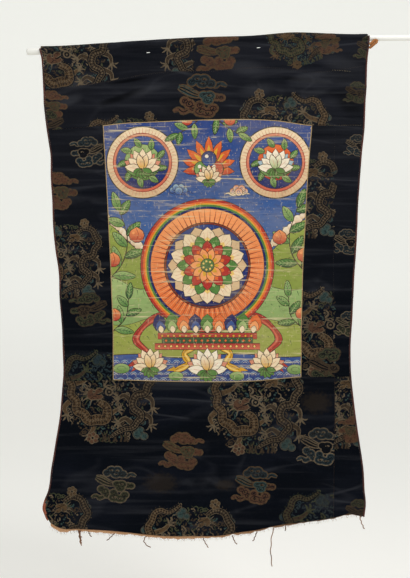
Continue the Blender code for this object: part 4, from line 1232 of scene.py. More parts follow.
def jewelHeap(x, z, size):
    shapes = []
    for k in range(9):
        angle = 90 + (k - 4) * 24
        flame = turnedTo(petalShape(size * (1.9 - 0.1 * abs(k - 4)), size * 0.52), x, z - 0.1 * size, angle)
        shapes += lined(flame, "red>orange")
        shapes.append((turnedTo(petalShape(size * (1.35 - 0.08 * abs(k - 4)), size * 0.26), x, z, angle),
                       "yellow"))
    for jx, jz, colour in ((-0.42, -0.1, "leafPale>leaf"), (0.42, -0.1, "redPale>red"),
                           (0.0, 0.5, "sky>ultra")):
        shapes += disc(x + jx * size, z + jz * size, 0.47 * size, "line", 16)
        shapes += disc(x + jx * size, z + jz * size, 0.41 * size, colour, 16, 1.08)
        shapes += disc(x + (jx - 0.12) * size, z + (jz + 0.14) * size, 0.11 * size, "white", 8)
    return shapes + lotus(x, z - 0.75 * size, 0.85 * size, "cream", "pink")


def pond(top, rows):
    line = spline([(-0.25, top), (-0.15, top + 0.006), (-0.05, top - 0.002), (0.06, top + 0.007), (0.16, top),
                   (0.25, top + 0.005)], 6)
    water = np.concatenate([line, [(0.25, -0.3), (-0.25, -0.3)]])
    shapes = [(water, "ultra>sky")] + stroke(line, 0.0018, "line")
    for row in range(rows):
        z = top - 0.011 - 0.0125 * row
        for x in np.arange(-0.245 + 0.009 * (row % 2), 0.25, 0.018):
            shapes += arc(x, z - 0.004, 0.0085, (0.0004, 0.0015, 0.0004), "pale", 15, 150, 6)
            shapes += arc(x, z - 0.004, 0.005, (0.0003, 0.001, 0.0003), "white", 20, 140, 5)
    return shapes


def lotusPlinth(x, z, wide):
    # a row of broad petals on a stepped red base with gold lozenges
    shapes = []
    for drop, half, colour, gem in ((0.034, 1.0, "red", "yellow"), (0.044, 0.92, "leafDark", "orange"),
                                    (0.056, 1.06, "redPale>red", "yellowPale")):
        top, left, right = z - drop + 0.012, x - wide * half, x + wide * half
        shapes += lined([(left, top - 0.012), (right, top - 0.012), (right, top), (left, top)], colour)
        for px in np.arange(left + 0.009, right - 0.004, 0.0125):
            shapes += disc(px, top - 0.0058, 0.0038, "line", 4) + disc(px, top - 0.0058, 0.0028, gem, 4)
    petals = 9
    for k in range(petals):
        px = x + wide * (2 * k / (petals - 1) - 1) * 0.92
        fills = (("ultra", "leaf", "orange")[k % 3], ("sky", "leafPale", "orangePale")[k % 3], "cream")
        for size, fill in zip((1.0, 0.66, 0.38), fills):
            petal = petalShape(0.04 * size, 0.029 * size)
            petal = turnedTo(petal, px, z - 0.022 + 0.001 * (1 - size), 90 + 3.0 * (4 - k))
            shapes += outlined(petal, fill, "line", 0.0009)
    return shapes


def mirrored(shapes):
    return moved(shapes, 0.0, 0.0, 1.0, 0.0, -1)


def paintedPicture():
    shapes = [(np.array([(-0.25, -0.02), (0.25, -0.02), (0.25, 0.3), (-0.25, 0.3)]), "skyLow>skyTop")]
    shapes += puffCloud(-0.06, 0.128, 0.014, -1, "pale", "sky")
    shapes += puffCloud(0.066, 0.126, 0.014, 1, "pink", "cream")
    left = [(-0.26, 0.088), (-0.205, 0.066), (-0.16, 0.024), (-0.11, -0.012)]
    right = [(0.11, -0.004), (0.155, 0.03), (0.2, 0.074), (0.26, 0.092)]
    shapes += mistEdge(left, 0.0075) + mistEdge(right, 0.0075)
    for points, fill in (
            ([(x, z - 0.01) for x, z in left] + [(0.0, -0.04)], "hill>hillPale"),
            ([(0.0, -0.04)] + [(x, z - 0.01) for x, z in right], "hill>hillPale"),
            ([(-0.26, -0.072), (-0.2, -0.056), (-0.14, -0.08), (-0.06, -0.066), (0.02, -0.09), (0.1, -0.07),
              (0.18, -0.082), (0.26, -0.06)], "leaf>leafPale"),
            ([(-0.26, -0.14), (-0.18, -0.156), (-0.1, -0.138), (0.0, -0.16), (0.1, -0.14), (0.19, -0.154),
              (0.26, -0.138)], "olive>hillPale")):
        shapes += hillShape(points, fill)
    shapes += pond(-0.222, 5)
    sashPath = [(-0.088, -0.13), (-0.125, -0.15), (-0.15, -0.185), (-0.125, -0.215), (-0.15, -0.238)]
    knotPath = [(-0.02, -0.196), (-0.048, -0.214), (-0.04, -0.236), (-0.066, -0.25)]
    for sash in (ribbon(sashPath, 0.013, "red", "redPale"), ribbon(knotPath, 0.012, "yellow", "yellowPale")):
        shapes += sash + mirrored(sash)
    # boughs of fruit beside the medallion, not quite alike
    for points, length, fruit in (
            ([(-0.205, -0.06), (-0.176, -0.02), (-0.168, 0.03), (-0.185, 0.085)], 0.046,
             ((0.3, 0.02, 0.015), (0.72, -0.02, 0.016))),
            ([(0.212, -0.05), (0.18, -0.012), (0.172, 0.036), (0.19, 0.092)], 0.046,
             ((0.34, -0.022, 0.0155), (0.7, 0.02, 0.015))),
            ([(-0.2, -0.17), (-0.172, -0.14), (-0.165, -0.1)], 0.038, ((0.5, 0.022, 0.013),)),
            ([(0.206, -0.165), (0.176, -0.138), (0.17, -0.096)], 0.038, ((0.5, -0.022, 0.013),))):
        shapes += bough(points, length, fruit)
    centre = (0.0, -0.03)
    shapes += haloRings(*centre, 0.137)
    for ring in ((0.04, 0.043, 0.037, 10, "creamDark", 0, "pink"),
                 (0.03, 0.05, 0.036, 10, "cream", 18, "yellowPale", "pink"),
                 (0.024, 0.04, 0.026, 10, "leaf", 0, "leafPale"),
                 (0.016, 0.036, 0.023, 10, "red", 18, "orange"),
                 (0.008, 0.028, 0.017, 10, "orangePale", 0, "yellow")):
        shapes += petalRing(*centre, *ring)
    shapes += disc(*centre, 0.015, "line", 20) + disc(*centre, 0.0137, "leafDark>leaf", 20)
    for k in range(7):
        shapes += disc(*around(*centre, 0.009, 2 * math.pi * k / 7), 0.0022, "yellowPale", 8)
    shapes += lotusPlinth(0.0, -0.15, 0.104)
    shapes += petalMedallion(-0.136, 0.186, 0.074, "leaf>leafPale", ("cream", "pink"))
    shapes += petalMedallion(0.143, 0.186, 0.074, "red>orange", ("white", "pale", "leafPale"))
    shapes += bough([(-0.01, 0.285), (-0.034, 0.262), (-0.062, 0.246)], 0.034, ((0.55, -0.016, 0.012),))
    shapes += bough([(0.014, 0.285), (0.038, 0.262), (0.066, 0.246)], 0.034, ((0.55, 0.016, 0.012),))
    shapes += jewelHeap(0.003, 0.176, 0.036)
    for flower in ((-0.12, -0.246, 0.04), (0.0, -0.252, 0.046, "white", "pink"), (0.124, -0.246, 0.04)):
        shapes += lotus(*flower)
    for x, z, r in ((-0.18, -0.246, 0.017), (-0.066, -0.262, 0.015), (0.062, -0.262, 0.015),
                    (0.184, -0.248, 0.017)):
        shapes += disc(x, z, r * 1.08, "line", 16, 0.6) + disc(x, z, r, "leaf>leafPale", 16, 0.6)
        shapes += arc(x, z, 0.5 * r, 0.0009, "leafDark", 0, 300, 8, 0.6)
    return moved(shapes, *paint["centre"])


def paintingFinish():
    made, tree, shader = startMaterial("paintedCanvas", 0.82, Specular_IOR_Level=0.2)
    at = flatPlace(tree)
    dye, _ = wovenDye(tree)
    patches = noise(tree, at, 14.0, 4.0)
    brush = noise(tree, at, 160.0, 3.0, (0.4, 1.0, 1.0))
    colour = washed(tree, dye, ink(190, 172, 128), patches, 0.35, 0.7, 0.13)
    colour = washed(tree, colour, ink(64, 48, 36), brush, 0.48, 0.75, 0.26)
    # pale level scratches along the roll creases, and short upright cracks
    bands = noise(tree, at, 16.0, 3.0, (0.12, 2.0, 1.0))
    for scale, stretch, low, high, strength in paint["scratches"]:
        scratches = noise(tree, at, scale, 5.0, stretch, 0.62)
        rubbed = calc(tree, "MULTIPLY", stepUp(tree, scratches, low, high),
                      stepUp(tree, bands, 0.38, 0.6, strength))
        colour = blended(tree, rubbed, colour, ink(212, 194, 152))
    cracks = noise(tree, at, 120.0, 3.0, (2.2, 0.35, 1.0))
    colour = washed(tree, colour, ink(214, 196, 156), cracks, 0.62, 0.7, 0.36)
    chips = noise(tree, at, 210.0, 2.0)
    colour = washed(tree, colour, ink(200, 178, 138), chips, 0.64, 0.7, 0.55)
    threads = calc(tree, "MULTIPLY", *(wave(tree, at, side, 190.0, 0.5) for side in "XY"))
    relief = calc(tree, "MULTIPLY_ADD", threads, 0.35, calc(tree, "MULTIPLY", brush, 0.4))
    dress(tree, shader, colour, calc(tree, "MULTIPLY_ADD", bands, 1.5, relief), 0.0004, 0.6)
    return made


strip["painted_canvas"] = canvasEdge = blockBorder((1, 2), (1, 2))
rawEdge = stroke(np.array(canvasEdge + canvasEdge[:1]), 0.003, "canvas")
pieces["painted_canvas"] = drawnSheet("paintedPanel", canvasEdge, paintedPicture() + rawEdge, paintPalette,
                                      meshSpacing["painting"], hungAt(-cloth["front"]), cloth["thickness"],
                                      paintingFinish())


# Plain cloth, cord and wood finishes
def cottonFinish(name, colour, dark, threads, soiled):
    # soiled towards the right, where the hem has been handled most
    made, tree, shader = startMaterial(name, 0.92, Specular_IOR_Level=0.2)
    at = objectPlace(tree)
    slub = noise(tree, at, 420.0, 3.0, (1.0, 1.0, 0.4))
    tone = washed(tree, colour, dark, noise(tree, at, 9.0, 4.0), 0.4, 0.8, 0.4)
    tone = washed(tree, tone, dark, slub, 0.45, 0.8, 0.5)
    tone = washed(tree, tone, ink(84, 60, 44), alongAxis(tree, at, 0), -0.1, 0.26, soiled)
    warp, weft = (wave(tree, at, side, threads, 0.8) for side in "XZ")
    dress(tree, shader, tone, calc(tree, "MULTIPLY_ADD", warp, weft, slub), 0.0004, 0.8)
    return made


def yarnFinish(name, colour, dark, bright, brightLow=-2.0, brightHigh=-1.9):
    # twisted yarn, brighter below a height
    made, tree, shader = startMaterial(name, 0.85, Specular_IOR_Level=0.25, Sheen_Weight=0.1)
    at = objectPlace(tree)
    yarn = noise(tree, at, 900.0, 3.0)
    tone = washed(tree, colour, dark, noise(tree, at, 24.0, 3.0), 0.38, 0.66)
    tone = washed(tree, tone, bright, alongAxis(tree, at, 2), brightHigh, brightLow, 0.85)
    tone = washed(tree, tone, dark, yarn, 0.5, 0.8, 0.5)
    dress(tree, shader, tone, yarn, 0.0003, 0.8)
    return made


def rodFinish():
    made, tree, shader = startMaterial("whiteRod", 0.38, Specular_IOR_Level=0.45)
    at = objectPlace(tree)
    grain = noise(tree, at, 60.0, 4.0, (0.08, 1.0, 1.0))
    marks = noise(tree, at, 30.0, 3.0, (0.5, 1.0, 1.0))
    colour = washed(tree, ink(235, 234, 229), ink(222, 220, 210), grain, 0.4, 0.75, 0.4)
    colour = washed(tree, colour, ink(206, 202, 188), marks, 0.62, 0.74, 0.3)
    dress(tree, shader, colour, grain, 0.0003, 0.35)
    return made


tanCotton = cottonFinish("tanCotton", ink(198, 154, 118), ink(146, 104, 74), 700.0, 0.0)
hemCotton = cottonFinish("hemCotton", ink(206, 158, 118), ink(152, 108, 76), 700.0, 0.75)
rustYarn = yarnFinish("rustYarn", ink(84, 44, 36), ink(42, 27, 28), ink(90, 50, 40))
cornerYarn = yarnFinish("cornerYarn", ink(84, 44, 36), ink(42, 27, 28), ink(158, 88, 62), -0.968, -0.955)
brownYarn = yarnFinish("brownYarn", ink(134, 90, 60), ink(84, 54, 36), ink(172, 128, 92))
loopYarn = yarnFinish("loopYarn", ink(184, 122, 66), ink(126, 78, 42), ink(150, 98, 60))
darkThread = yarnFinish("darkThread", ink(60, 46, 36), ink(28, 26, 30), ink(90, 70, 50))
paleThread = yarnFinish("paleThread", ink(150, 136, 104), ink(96, 84, 62), ink(150, 136, 104))

liningFace = -cloth["front"] + cloth["thickness"] + cloth["gap"]  # where the lining begins
strip["lining"] = blockBorder((0, 4), (0, 3), 0.006)
pieces["lining"] = drawnSheet("cottonLining", strip["lining"], [], {"ground": ink(176, 138, 102)},
                              meshSpacing["lining"], hungAt(liningFace), cloth["liningThickness"], tanCotton,
                              behindShare=1.0)


# Geometry Nodes for what follows a line: twisted cord, stitches and loose fibres
def startTree(name, labels):
    tree = bpy.data.node_groups.new(name, "GeometryNodeTree")
    tree.interface.new_socket("Geometry", in_out="INPUT", socket_type="NodeSocketGeometry")
    tree.interface.new_socket("Geometry", in_out="OUTPUT", socket_type="NodeSocketGeometry")
    for label in labels:
        kind = {"Material": "Material", "Seed": "Int", "Count": "Int"}.get(label, "Float")
        tree.interface.new_socket(label, in_out="INPUT", socket_type=f"NodeSocket{kind}")
    start = tree.nodes.new("NodeGroupInput")
    return tree, start.outputs, put(tree, "GeometryNodeMeshToCurve", {0: start.outputs[0]}).outputs[0]


def endTree(tree, given, geometry):
    realised = put(tree, "GeometryNodeRealizeInstances", {0: geometry}).outputs[0]
    dressed = put(tree, "GeometryNodeSetMaterial", {"Geometry": realised, "Material": given["Material"]})
    put(tree, "NodeGroupOutput", {0: dressed.outputs[0]})
    return tree


def vectorMath(tree, operation, a, b):
    return put(tree, "ShaderNodeVectorMath", {0: a, "Scale" if operation == "SCALE" else 1: b},
               operation=operation).outputs[0]


def tubeAlong(tree, line, radius, sides):
    profile = put(tree, "GeometryNodeCurvePrimitiveCircle", {"Resolution": sides, "Radius": radius},
                  mode="RADIUS").outputs[0]
    return put(tree, "GeometryNodeCurveToMesh",
               {"Curve": line, "Profile Curve": profile, "Fill Caps": True}).outputs[0]


def randomly(tree, kind, low, high, seed):
    # a random value for each point, between two bounds
    if kind == "FLOAT":
        return put(tree, "FunctionNodeRandomValue", {2: low, 3: high, "Seed": seed},
                   data_type=kind).outputs[1]
    return put(tree, "FunctionNodeRandomValue", {0: low, 1: high, "Seed": seed}, data_type=kind).outputs[0]


def triple(tree, x, y, z):
    return put(tree, "ShaderNodeCombineXYZ", {"X": x, "Y": y, "Z": z}).outputs[0]


def twistTree(strands):
    tree, given, path = startTree("twistedCord", ("Radius", "Pitch", "Step", "Material"))
    path = put(tree, "GeometryNodeResampleCurve", {"Curve": path, "Length": given["Step"]},
               mode="LENGTH").outputs[0]
    run = put(tree, "GeometryNodeSplineParameter").outputs["Length"]
    normal = put(tree, "GeometryNodeInputNormal").outputs[0]
    tangent = put(tree, "GeometryNodeInputTangent").outputs[0]
    across = vectorMath(tree, "CROSS_PRODUCT", tangent, normal)
    reach = calc(tree, "MULTIPLY", given["Radius"], 0.5)
    angle = calc(tree, "DIVIDE", calc(tree, "MULTIPLY", run, 2 * math.pi), given["Pitch"])
    joined = put(tree, "GeometryNodeJoinGeometry")
    for k in range(strands):
        phase = calc(tree, "ADD", angle, 2 * math.pi * k / strands)
        a = vectorMath(tree, "SCALE", normal, calc(tree, "MULTIPLY", reach, calc(tree, "COSINE", phase)))
        b = vectorMath(tree, "SCALE", across, calc(tree, "MULTIPLY", reach, calc(tree, "SINE", phase)))
        aside = vectorMath(tree, "ADD", a, b)
        line = put(tree, "GeometryNodeSetPosition", {"Geometry": path, "Offset": aside}).outputs[0]
        tree.links.new(tubeAlong(tree, line, calc(tree, "MULTIPLY", given["Radius"], 0.56), 6),
                       joined.inputs[0])
    return endTree(tree, given, joined.outputs[0])


def stitchTree():
    tree, given, path = startTree("stitchRow", ("Spacing", "Length", "Thickness", "Lean", "Seed", "Material"))
    points = put(tree, "GeometryNodeCurveToPoints", {"Curve": path, "Length": given["Spacing"]},
                 mode="LENGTH")
    facing = put(tree, "FunctionNodeAlignRotationToVector", {"Vector": points.outputs["Tangent"]},
                 axis="Z").outputs[0]
    thread = put(tree, "GeometryNodeMeshUVSphere", {"Segments": 6, "Rings": 5, "Radius": 0.5}).outputs[0]
    size = triple(tree, given["Thickness"], given["Thickness"], given["Length"])
    thread = put(tree, "GeometryNodeTransform", {"Geometry": thread, "Scale": size}).outputs[0]
    rows = put(tree, "GeometryNodeInstanceOnPoints", {
        "Points": points.outputs[0], "Instance": thread, "Rotation": facing,
        "Scale": randomly(tree, "FLOAT", 0.75, 1.2, given["Seed"])}).outputs[0]
    lean = triple(tree, 0.0, given["Lean"], 0.0)
    rows = put(tree, "GeometryNodeRotateInstances", {"Instances": rows, "Rotation": lean}).outputs[0]
    return endTree(tree, given, rows)


def fuzzTree():
    tree, given, path = startTree("looseFibres",
                                  ("Count", "Length", "Thickness", "Spread", "Seed", "Material"))
    points = put(tree, "GeometryNodeCurveToPoints", {"Curve": path, "Count": given["Count"]},
                 mode="COUNT").outputs[0]
    scatter = randomly(tree, "FLOAT_VECTOR", (-0.003, -0.0006, -0.0012), (0.003, 0.0006, 0.0006),
                       given["Seed"])
    points = put(tree, "GeometryNodeSetPosition", {"Geometry": points, "Offset": scatter}).outputs[0]
    fibre = put(tree, "GeometryNodeCurvePrimitiveBezierSegment", {
        "Resolution": 5, "Start": (0, 0, 0), "Start Handle": (0.1, 0.06, -0.4),
        "End Handle": (-0.18, -0.05, -0.6), "End": (0.22, 0.0, -1.0)}).outputs[0]
    size = vectorMath(tree, "SCALE", (1.0, 1.0, 1.0), given["Length"])
    fibre = put(tree, "GeometryNodeTransform", {"Geometry": fibre, "Scale": size}).outputs[0]
    fibre = tubeAlong(tree, fibre, calc(tree, "MULTIPLY", given["Thickness"], 0.5), 3)
    low = triple(tree, -0.6, calc(tree, "MULTIPLY", given["Spread"], -1.0), 0.0)
    high = triple(tree, 0.6, given["Spread"], 6.28)
    swing = randomly(tree, "FLOAT_VECTOR", low, high, calc(tree, "ADD", given["Seed"], 7))
    size = randomly(tree, "FLOAT", 0.3, 1.0, calc(tree, "ADD", given["Seed"], 13))
    tuft = put(tree, "GeometryNodeInstanceOnPoints",
                {"Points": points, "Instance": fibre, "Rotation": swing, "Scale": size}).outputs[0]
    return endTree(tree, given, tuft)


def grownAlong(name, tree, lines, **values):
    # runs a tree on lines of points and keeps the result as a plain mesh
    mesh = bpy.data.meshes.new(name)
    points, edges = [], []
    for line in lines:
        edges += [(len(points) + k, len(points) + k + 1) for k in range(len(line) - 1)]
        points += [tuple(p) for p in line]
    mesh.from_pydata(points, edges, [])
    guide = placed(name + "Guide", mesh)
    grower = guide.modifiers.new("grow", "NODES")
    grower.node_group = tree
    for socket in tree.interface.items_tree:
        label = socket.name[0].lower() + socket.name[1:]
        if socket.in_out == "INPUT" and label in values:
            grower[socket.identifier] = values[label]
    bpy.context.view_layer.update()
    ready = guide.evaluated_get(bpy.context.evaluated_depsgraph_get())
    result = bpy.data.meshes.new_from_object(ready)
    result.name = name
    result.shade_smooth()
    bpy.data.objects.remove(guide, do_unlink=True)
    print(f"{name}: {sum(len(p.vertices) - 2 for p in result.polygons)} triangles")
    return placed(name, result)


cordTwo, cordThree = twistTree(2), twistTree(3)
stitches, fibres = stitchTree(), fuzzTree()

edging = {
    "topRows": ((0.003, 0.0), (-0.003, 0.0), (-0.009, 0.2), (-0.0175, 0.8), (-0.0415, 0.8)),
    "cord": {"radius": 0.002, "pitch": 0.008, "step": 0.0016},
    "bulge": (-0.979, 0.014, 0.0014),  # z, half height and reach of the slack in the left cord
    "second": (0.0027, -0.0012, 0.012),  # x and y from it to the yarn beside it, and that yarn's half height
}


def edgingLine(curve, outward, side):
    # the cord's path, from in front of the rod down the cloth's edge to the lower corner
    middle = -cloth["front"] + (cloth["thickness"] + cloth["gap"] + cloth["liningThickness"]) / 2
    axis = float(rodHeight(side))
    radius = edging["cord"]["radius"]
    inset = outward * radius
    clear = -(float(rodRadius(side)) + radius + cloth["gap"])
    path = []
    for above, share in edging["topRows"]:
        z = axis + above
        path.append((float(curve(z)) - inset, clear + share * (middle - clear), z))
    last = float(levelLines[3](curve(-1.0)))
    first = float(seamLine(side))
    at, half, reach = edging["bulge"]
    for z in np.linspace(first, last, 260):
        x = float(curve(z)) - inset
        slack = reach * math.cos(math.pi / 2 * min(1, abs(z - at) / half)) ** 2 if outward < 0 else 0.0
        path.append((x + outward * slack, middle - forwardAt(x - inset, z) - slack, z))
    return path


ends = sleeveEnds()
leftLine, rightLine = edgingLine(leftEdge, -1, ends[0]), edgingLine(rightEdge, 1, ends[1])
aside, ahead, half = edging["second"]
slack = [(x + aside, y + ahead, z) for x, y, z in leftLine if abs(z - edging["bulge"][0]) < half]
for side, lines, yarn in (("left", [leftLine, slack], cornerYarn), ("right", [rightLine], rustYarn)):
    pieces[side + "_piping"] = grownAlong(side + "Edging", cordThree, lines, material=yarn, **edging["cord"])

# The loop at the upper right corner
loop = {
    "cord": {"radius": 0.0032, "pitch": 0.006, "step": 0.0009},
    "forward": 0.006,
    "line": ((0.345, -0.0158), (0.35, -0.0118), (0.355, -0.0074), (0.3596, -0.004), (0.3604, -0.0006),
             (0.3566, 0.0004), (0.352, -0.0028), (0.3462, -0.0082)),
}
loopLine = [(x, -loop["forward"], z) for x, z in spline(loop["line"], 5)]
pieces["corner_loop"] = grownAlong("cornerLoop", cordTwo, [loopLine], material=loopYarn, **loop["cord"])

# Fibres at the sleeve's worn corners
worn = {"count": 46, "length": 0.006, "thickness": 0.0005, "spread": 0.9, "seed": 6}
cornerRows = []
for x, side in ((ends[0] + 0.001, -1), (ends[1] - 0.001, 1)):
    top = float(crestLine(x))
    cornerRows.append([(x - side * 0.01, -0.002, top), (x, -0.002, top - 0.0005),
                       (x + side * 0.001, -0.005, top - 0.008)])
cornerFuzz = grownAlong("cornerFibres", fibres, cornerRows, material=brownYarn, **worn)

# The raw hem with its threads
hem = {
    "thickness": 0.0012,
    "threads": (                # x, swing half way, swing at the tip, drop
        (-0.262, 0.002, 0.004, 0.033), (-0.244, 0.003, 0.007, 0.013), (-0.187, -0.008, -0.017, 0.016),
        (-0.12, -0.007, 0.006, 0.024), (-0.004, 0.004, 0.011, 0.021), (0.057, 0.003, 0.009, 0.018),
        (0.109, -0.004, -0.009, 0.021), (0.143, -0.006, -0.003, 0.08), (0.167, 0.001, 0.0, 0.01),
        (0.323, 0.003, 0.009, 0.026)),
    "bunch": (                  # more yarns with the first thread: x beside it, shares of its swings and drop
        (-0.0034, 2.2, 1.6, 0.62), (-0.0014, 0.9, 1.2, 0.94), (0.0012, 0.4, 0.8, 0.86),
        (0.0034, -1.4, 0.3, 0.7), (0.006, -2.6, -0.2, 0.46)),
    "lean": 0.002,
    "yarn": {"radius": 0.0011, "pitch": 0.005, "step": 0.0009},
    "shown": (                  # x, then the share of the band's height that shows there
        (-0.34, -0.3, -0.17, 0.02, 0.16, 0.22), (1.0, 1.35, 1.2, 1.0, 0.75, 0.5)),
    "fibres": {"count": 620, "length": 0.0075, "thickness": 0.00035, "spread": 0.9, "seed": 4},
    "lifts": ((-0.302, 0.02, -0.003), (-0.268, 0.014, 0.0012), (-0.15, 0.02, 0.0014), (0.058, 0.012, 0.004),
              (0.092, 0.01, -0.0014), (0.135, 0.014, 0.0034), (0.215, 0.03, 0.0008)),
}


def hemBorder():
    xs = np.arange(float(leftEdge(-1.01)) + edgeInset, float(rightEdge(-0.995)) - edgeInset, 0.0022)
    top = levelLines[3](xs) - cloth["gap"] / 2
    ragged = 0.001 * np.sin(311 * xs) * np.sin(97 * xs + 1.0) + 0.0005 * np.sin(1270 * xs)
    for x, reach, lift in hem["lifts"]:
        ragged = ragged - lift * np.clip(1 - np.abs(xs - x) / reach, 0, 1)
    shown = hemHeight(xs) * np.interp(xs, *hem["shown"])
    low = top - np.maximum(shown + ragged, 0.001)
    return [(x, z) for x, z in zip(xs, low)] + [(x, z) for x, z in zip(xs[::-1], top[::-1])]


def threadLine(x, middleSwing, tipSwing, drop):
    top = float(levelLines[3](x)) - float(hemHeight(x)) + 0.0015
    y = liningFace + hem["thickness"] / 2 - forwardAt(x, top)
    line = []
    for t in np.linspace(0, 1, 16):
        swing = middleSwing * 4 * t * (1 - t) + tipSwing * t * (2 * t - 1)
        kink = 0.0009 * math.sin(19 * t + 40 * x)
        line.append((x + swing + kink, y - hem["lean"] * t + 0.0006 * math.sin(13 * t), top - drop * t))
    return line


hemEdge = hemBorder()
hemBand = drawnSheet("hemBand", hemEdge, [], {"ground": ink(170, 132, 98)}, meshSpacing["hem"],
                     hungAt(liningFace), hem["thickness"], hemCotton)
x, middleSwing, tipSwing, drop = hem["threads"][0]
bunch = [(x + beside, middleSwing * a, tipSwing * b, drop * share) for beside, a, b, share in hem["bunch"]]
threadLines = [threadLine(*row) for row in (*hem["threads"][:1], *bunch, *hem["threads"][1:])]
looseThreads = grownAlong("looseThreads", cordTwo, threadLines, material=brownYarn, **hem["yarn"])
hemLine = [(x, -cloth["front"] + 0.002 - forwardAt(x, z), z + 0.0008) for x, z in hemEdge[:len(hemEdge) // 2]]
hemFuzz = grownAlong("hemFibres", fibres, [hemLine], material=brownYarn, **hem["fibres"])


def bent(rows, depth):
    return [(x, depth - forwardAt(x, z), z) for x, z in rows]


# Stitches along the seams and round the painting
seams = {
    "dark": {"spacing": 0.0042, "length": 0.0024, "thickness": 0.00045, "lean": 0.0, "seed": 2},
    "canvas": {"spacing": 0.0046, "length": 0.003, "thickness": 0.0005, "lean": 0.7, "seed": 3},
    "pale": {"spacing": 0.0046, "length": 0.0026, "thickness": 0.0005, "lean": 0.0, "seed": 5},
    "cord": {"radius": 0.00055, "pitch": 0.004, "step": 0.002},
    "beside": 0.0016,           # from a seam to its row of stitches
}
outer = -cloth["front"] - 0.0001
xs = np.arange(ends[0] + 0.004, ends[1] - 0.004, 0.004)
beside = seams["beside"]
sleeveRow = bent([(x, float(seamLine(x)) - beside) for x in xs], outer)
skirtRow = bent([(float(uprightLines[3](z)) - beside, z) for z in np.arange(-1.0, -0.182, 0.005)], outer)
seamStitches = grownAlong("seamStitches", stitches, [sleeveRow, skirtRow], material=darkThread,
                          **seams["dark"])
# sewing cord that closes the seam under the sleeve
cordLine = bent([(x, float(seamLine(x))) for x in xs], outer + 0.5 * cloth["thickness"])
seamCord = grownAlong("seamCord", cordTwo, [cordLine], material=darkThread, **seams["cord"])
canvasRow = grown(np.array(canvasEdge), -0.0012)
canvasRow = bent(np.concatenate([canvasRow, canvasRow[:1]]), outer)
paintingStitches = grownAlong("canvasStitches", stitches, [canvasRow], material=paleThread, **seams["canvas"])
paleRows = [bent([(x, -0.066 + 0.004 * math.sin(30 * x)) for x in np.arange(0.268, 0.306, 0.004)],
                 outer - 0.001),
            bent([(x, -0.1785) for x in np.arange(0.262, 0.33, 0.004)], outer)]
paleStitches = grownAlong("paleStitches", stitches, paleRows, material=paleThread, **seams["pale"])

# The rod, a slim bowed stick
stick = {"left": -0.376, "right": 0.452, "tip": 0.004, "sides": 28}


def plainObject(name, points, faces, finish):
    mesh = bpy.data.meshes.new(name)
    mesh.from_pydata(points, [], faces)
    mesh.materials.append(finish)
    mesh.shade_smooth()
    return placed(name, mesh)


def turnedStick():
    left, right, tip = stick["left"], stick["right"], stick["tip"]
    xs = np.concatenate([np.linspace(left, left + tip, 7), np.linspace(left + 0.012, right - 0.012, 90),
                         np.linspace(right - tip, right, 7)])
    near = np.clip(np.minimum(xs - left, right - xs) / tip, 0, 1)
    radii = rodRadius(xs) * np.sqrt(np.maximum(1 - (1 - near) ** 2, 0.02))
    radii *= 1 + 0.008 * np.sin(23 * xs) * np.sin(61 * xs + 1)
    n = stick["sides"]
    turns = [2 * math.pi * k / n for k in range(n)]
    points = [(x, *around(0, z, r, turn)) for x, z, r in zip(xs, rodHeight(xs), radii) for turn in turns]
    faces = [(i * n + k, i * n + (k + 1) % n, (i + 1) * n + (k + 1) % n, (i + 1) * n + k)
             for i in range(len(xs) - 1) for k in range(n)]
    faces += [tuple(range(n - 1, -1, -1)), tuple((len(xs) - 1) * n + k for k in range(n))]
    return plainObject("hangingRod", points, faces, rodFinish())


pieces["rod"] = turnedStick()
pieces["frayed_hem"] = hemBand
print("pieces made")

# Every piece rides on the one body and stands for its solid
for node, piece in pieces.items():
    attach(piece, "root")
    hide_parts(node)
for piece, slot in ((looseThreads, "lining"), (hemFuzz, "lining"), (seamStitches, "brocade"),
                    (paintingStitches, "painting"), (paleStitches, "brocade"), (cornerFuzz, "brocade"),
                    (seamCord, "brocade")):
    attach(piece, "root")

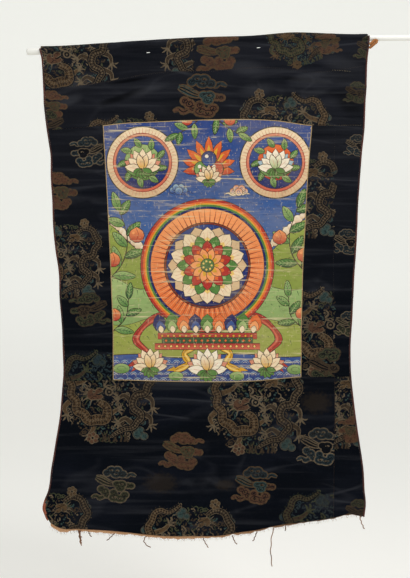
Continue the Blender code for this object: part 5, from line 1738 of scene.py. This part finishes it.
# Camera, light and floor
view = {"distance": 2.364, "height": -0.5215, "lens": 70.0, "sensor": 36.0, "room": 0.45}
# fade: the height where the paper's painted shade ends
backdrop = {"floor": -1.3, "front": -6.0, "bend": 3.0, "radius": 2.5, "wall": 7.0, "halfWidth": 7.0,
            "fade": -0.4, "glow": 0.395}
scene = bpy.context.scene
scene.view_settings.view_transform = "Standard"
lensData = bpy.data.cameras.new("view")
lensData.lens = view["lens"]
lensData.sensor_fit = "VERTICAL"
lensData.sensor_height = view["sensor"]
scene.camera = placed("view", lensData)
scene.camera.location = (0.0, -view["distance"], view["height"])
scene.camera.rotation_euler = (math.radians(90), 0.0, 0.0)

lamps = (                       # place, aim, size, watts
    ((1.2, -1.7, 1.5), (0.05, 0.0, -0.45), 0.9, 40.0),
    ((-1.9, -2.2, 0.2), (0.0, 0.0, -0.5), 1.6, 11.0),
    ((0.0, -0.5, 1.9), (0.0, 0.0, -0.5), 1.0, 12.0),
)
for place, aim, size, watts in lamps:
    data = bpy.data.lights.new("softLight", "AREA")
    data.shape = "DISK"
    data.size = size
    data.energy = watts
    lamp = placed("softLight", data)
    lamp.location = place
    lamp.rotation_euler = (Vector(aim) - Vector(place)).to_track_quat("-Z", "Y").to_euler()

world = bpy.data.worlds.new("paleRoom")
world.use_nodes = True
room = world.node_tree.nodes["Background"]
room.inputs[0].default_value = (*ink(240, 241, 237), 1.0)
room.inputs[1].default_value = view["room"]
scene.world = world


def sweep():
    # a pale floor that curves up into a far pale wall, with painted shade darker towards the floor
    floor, bend, radius = backdrop["floor"], backdrop["bend"], backdrop["radius"]
    rows = [(backdrop["front"], floor), (bend, floor)]
    for a in np.radians(np.arange(6, 91, 6)):
        rows.append((bend + radius * math.sin(a), floor + radius * (1 - math.cos(a))))
    rows.append((bend + radius, floor + backdrop["wall"]))
    points = [(x, y, z) for y, z in rows for x in (-backdrop["halfWidth"], backdrop["halfWidth"])]
    faces = [(2 * k, 2 * k + 1, 2 * k + 3, 2 * k + 2) for k in range(len(rows) - 1)]
    paper, tree, shader = startMaterial("palePaper", 0.95, Specular_IOR_Level=0.0,
                                        Emission_Strength=backdrop["glow"],
                                        Emission_Color=(*ink(241, 242, 237), 1.0))
    # painted shade: the paper darkens from the fade height down to the floor
    height = alongAxis(tree, objectPlace(tree), 2)
    tint = washed(tree, ink(222, 220, 217), ink(241, 241, 238), height, floor, backdrop["fade"])
    tree.links.new(tint, shader.inputs["Base Color"])
    return plainObject("paleSweep", points, faces, paper)


sweep()
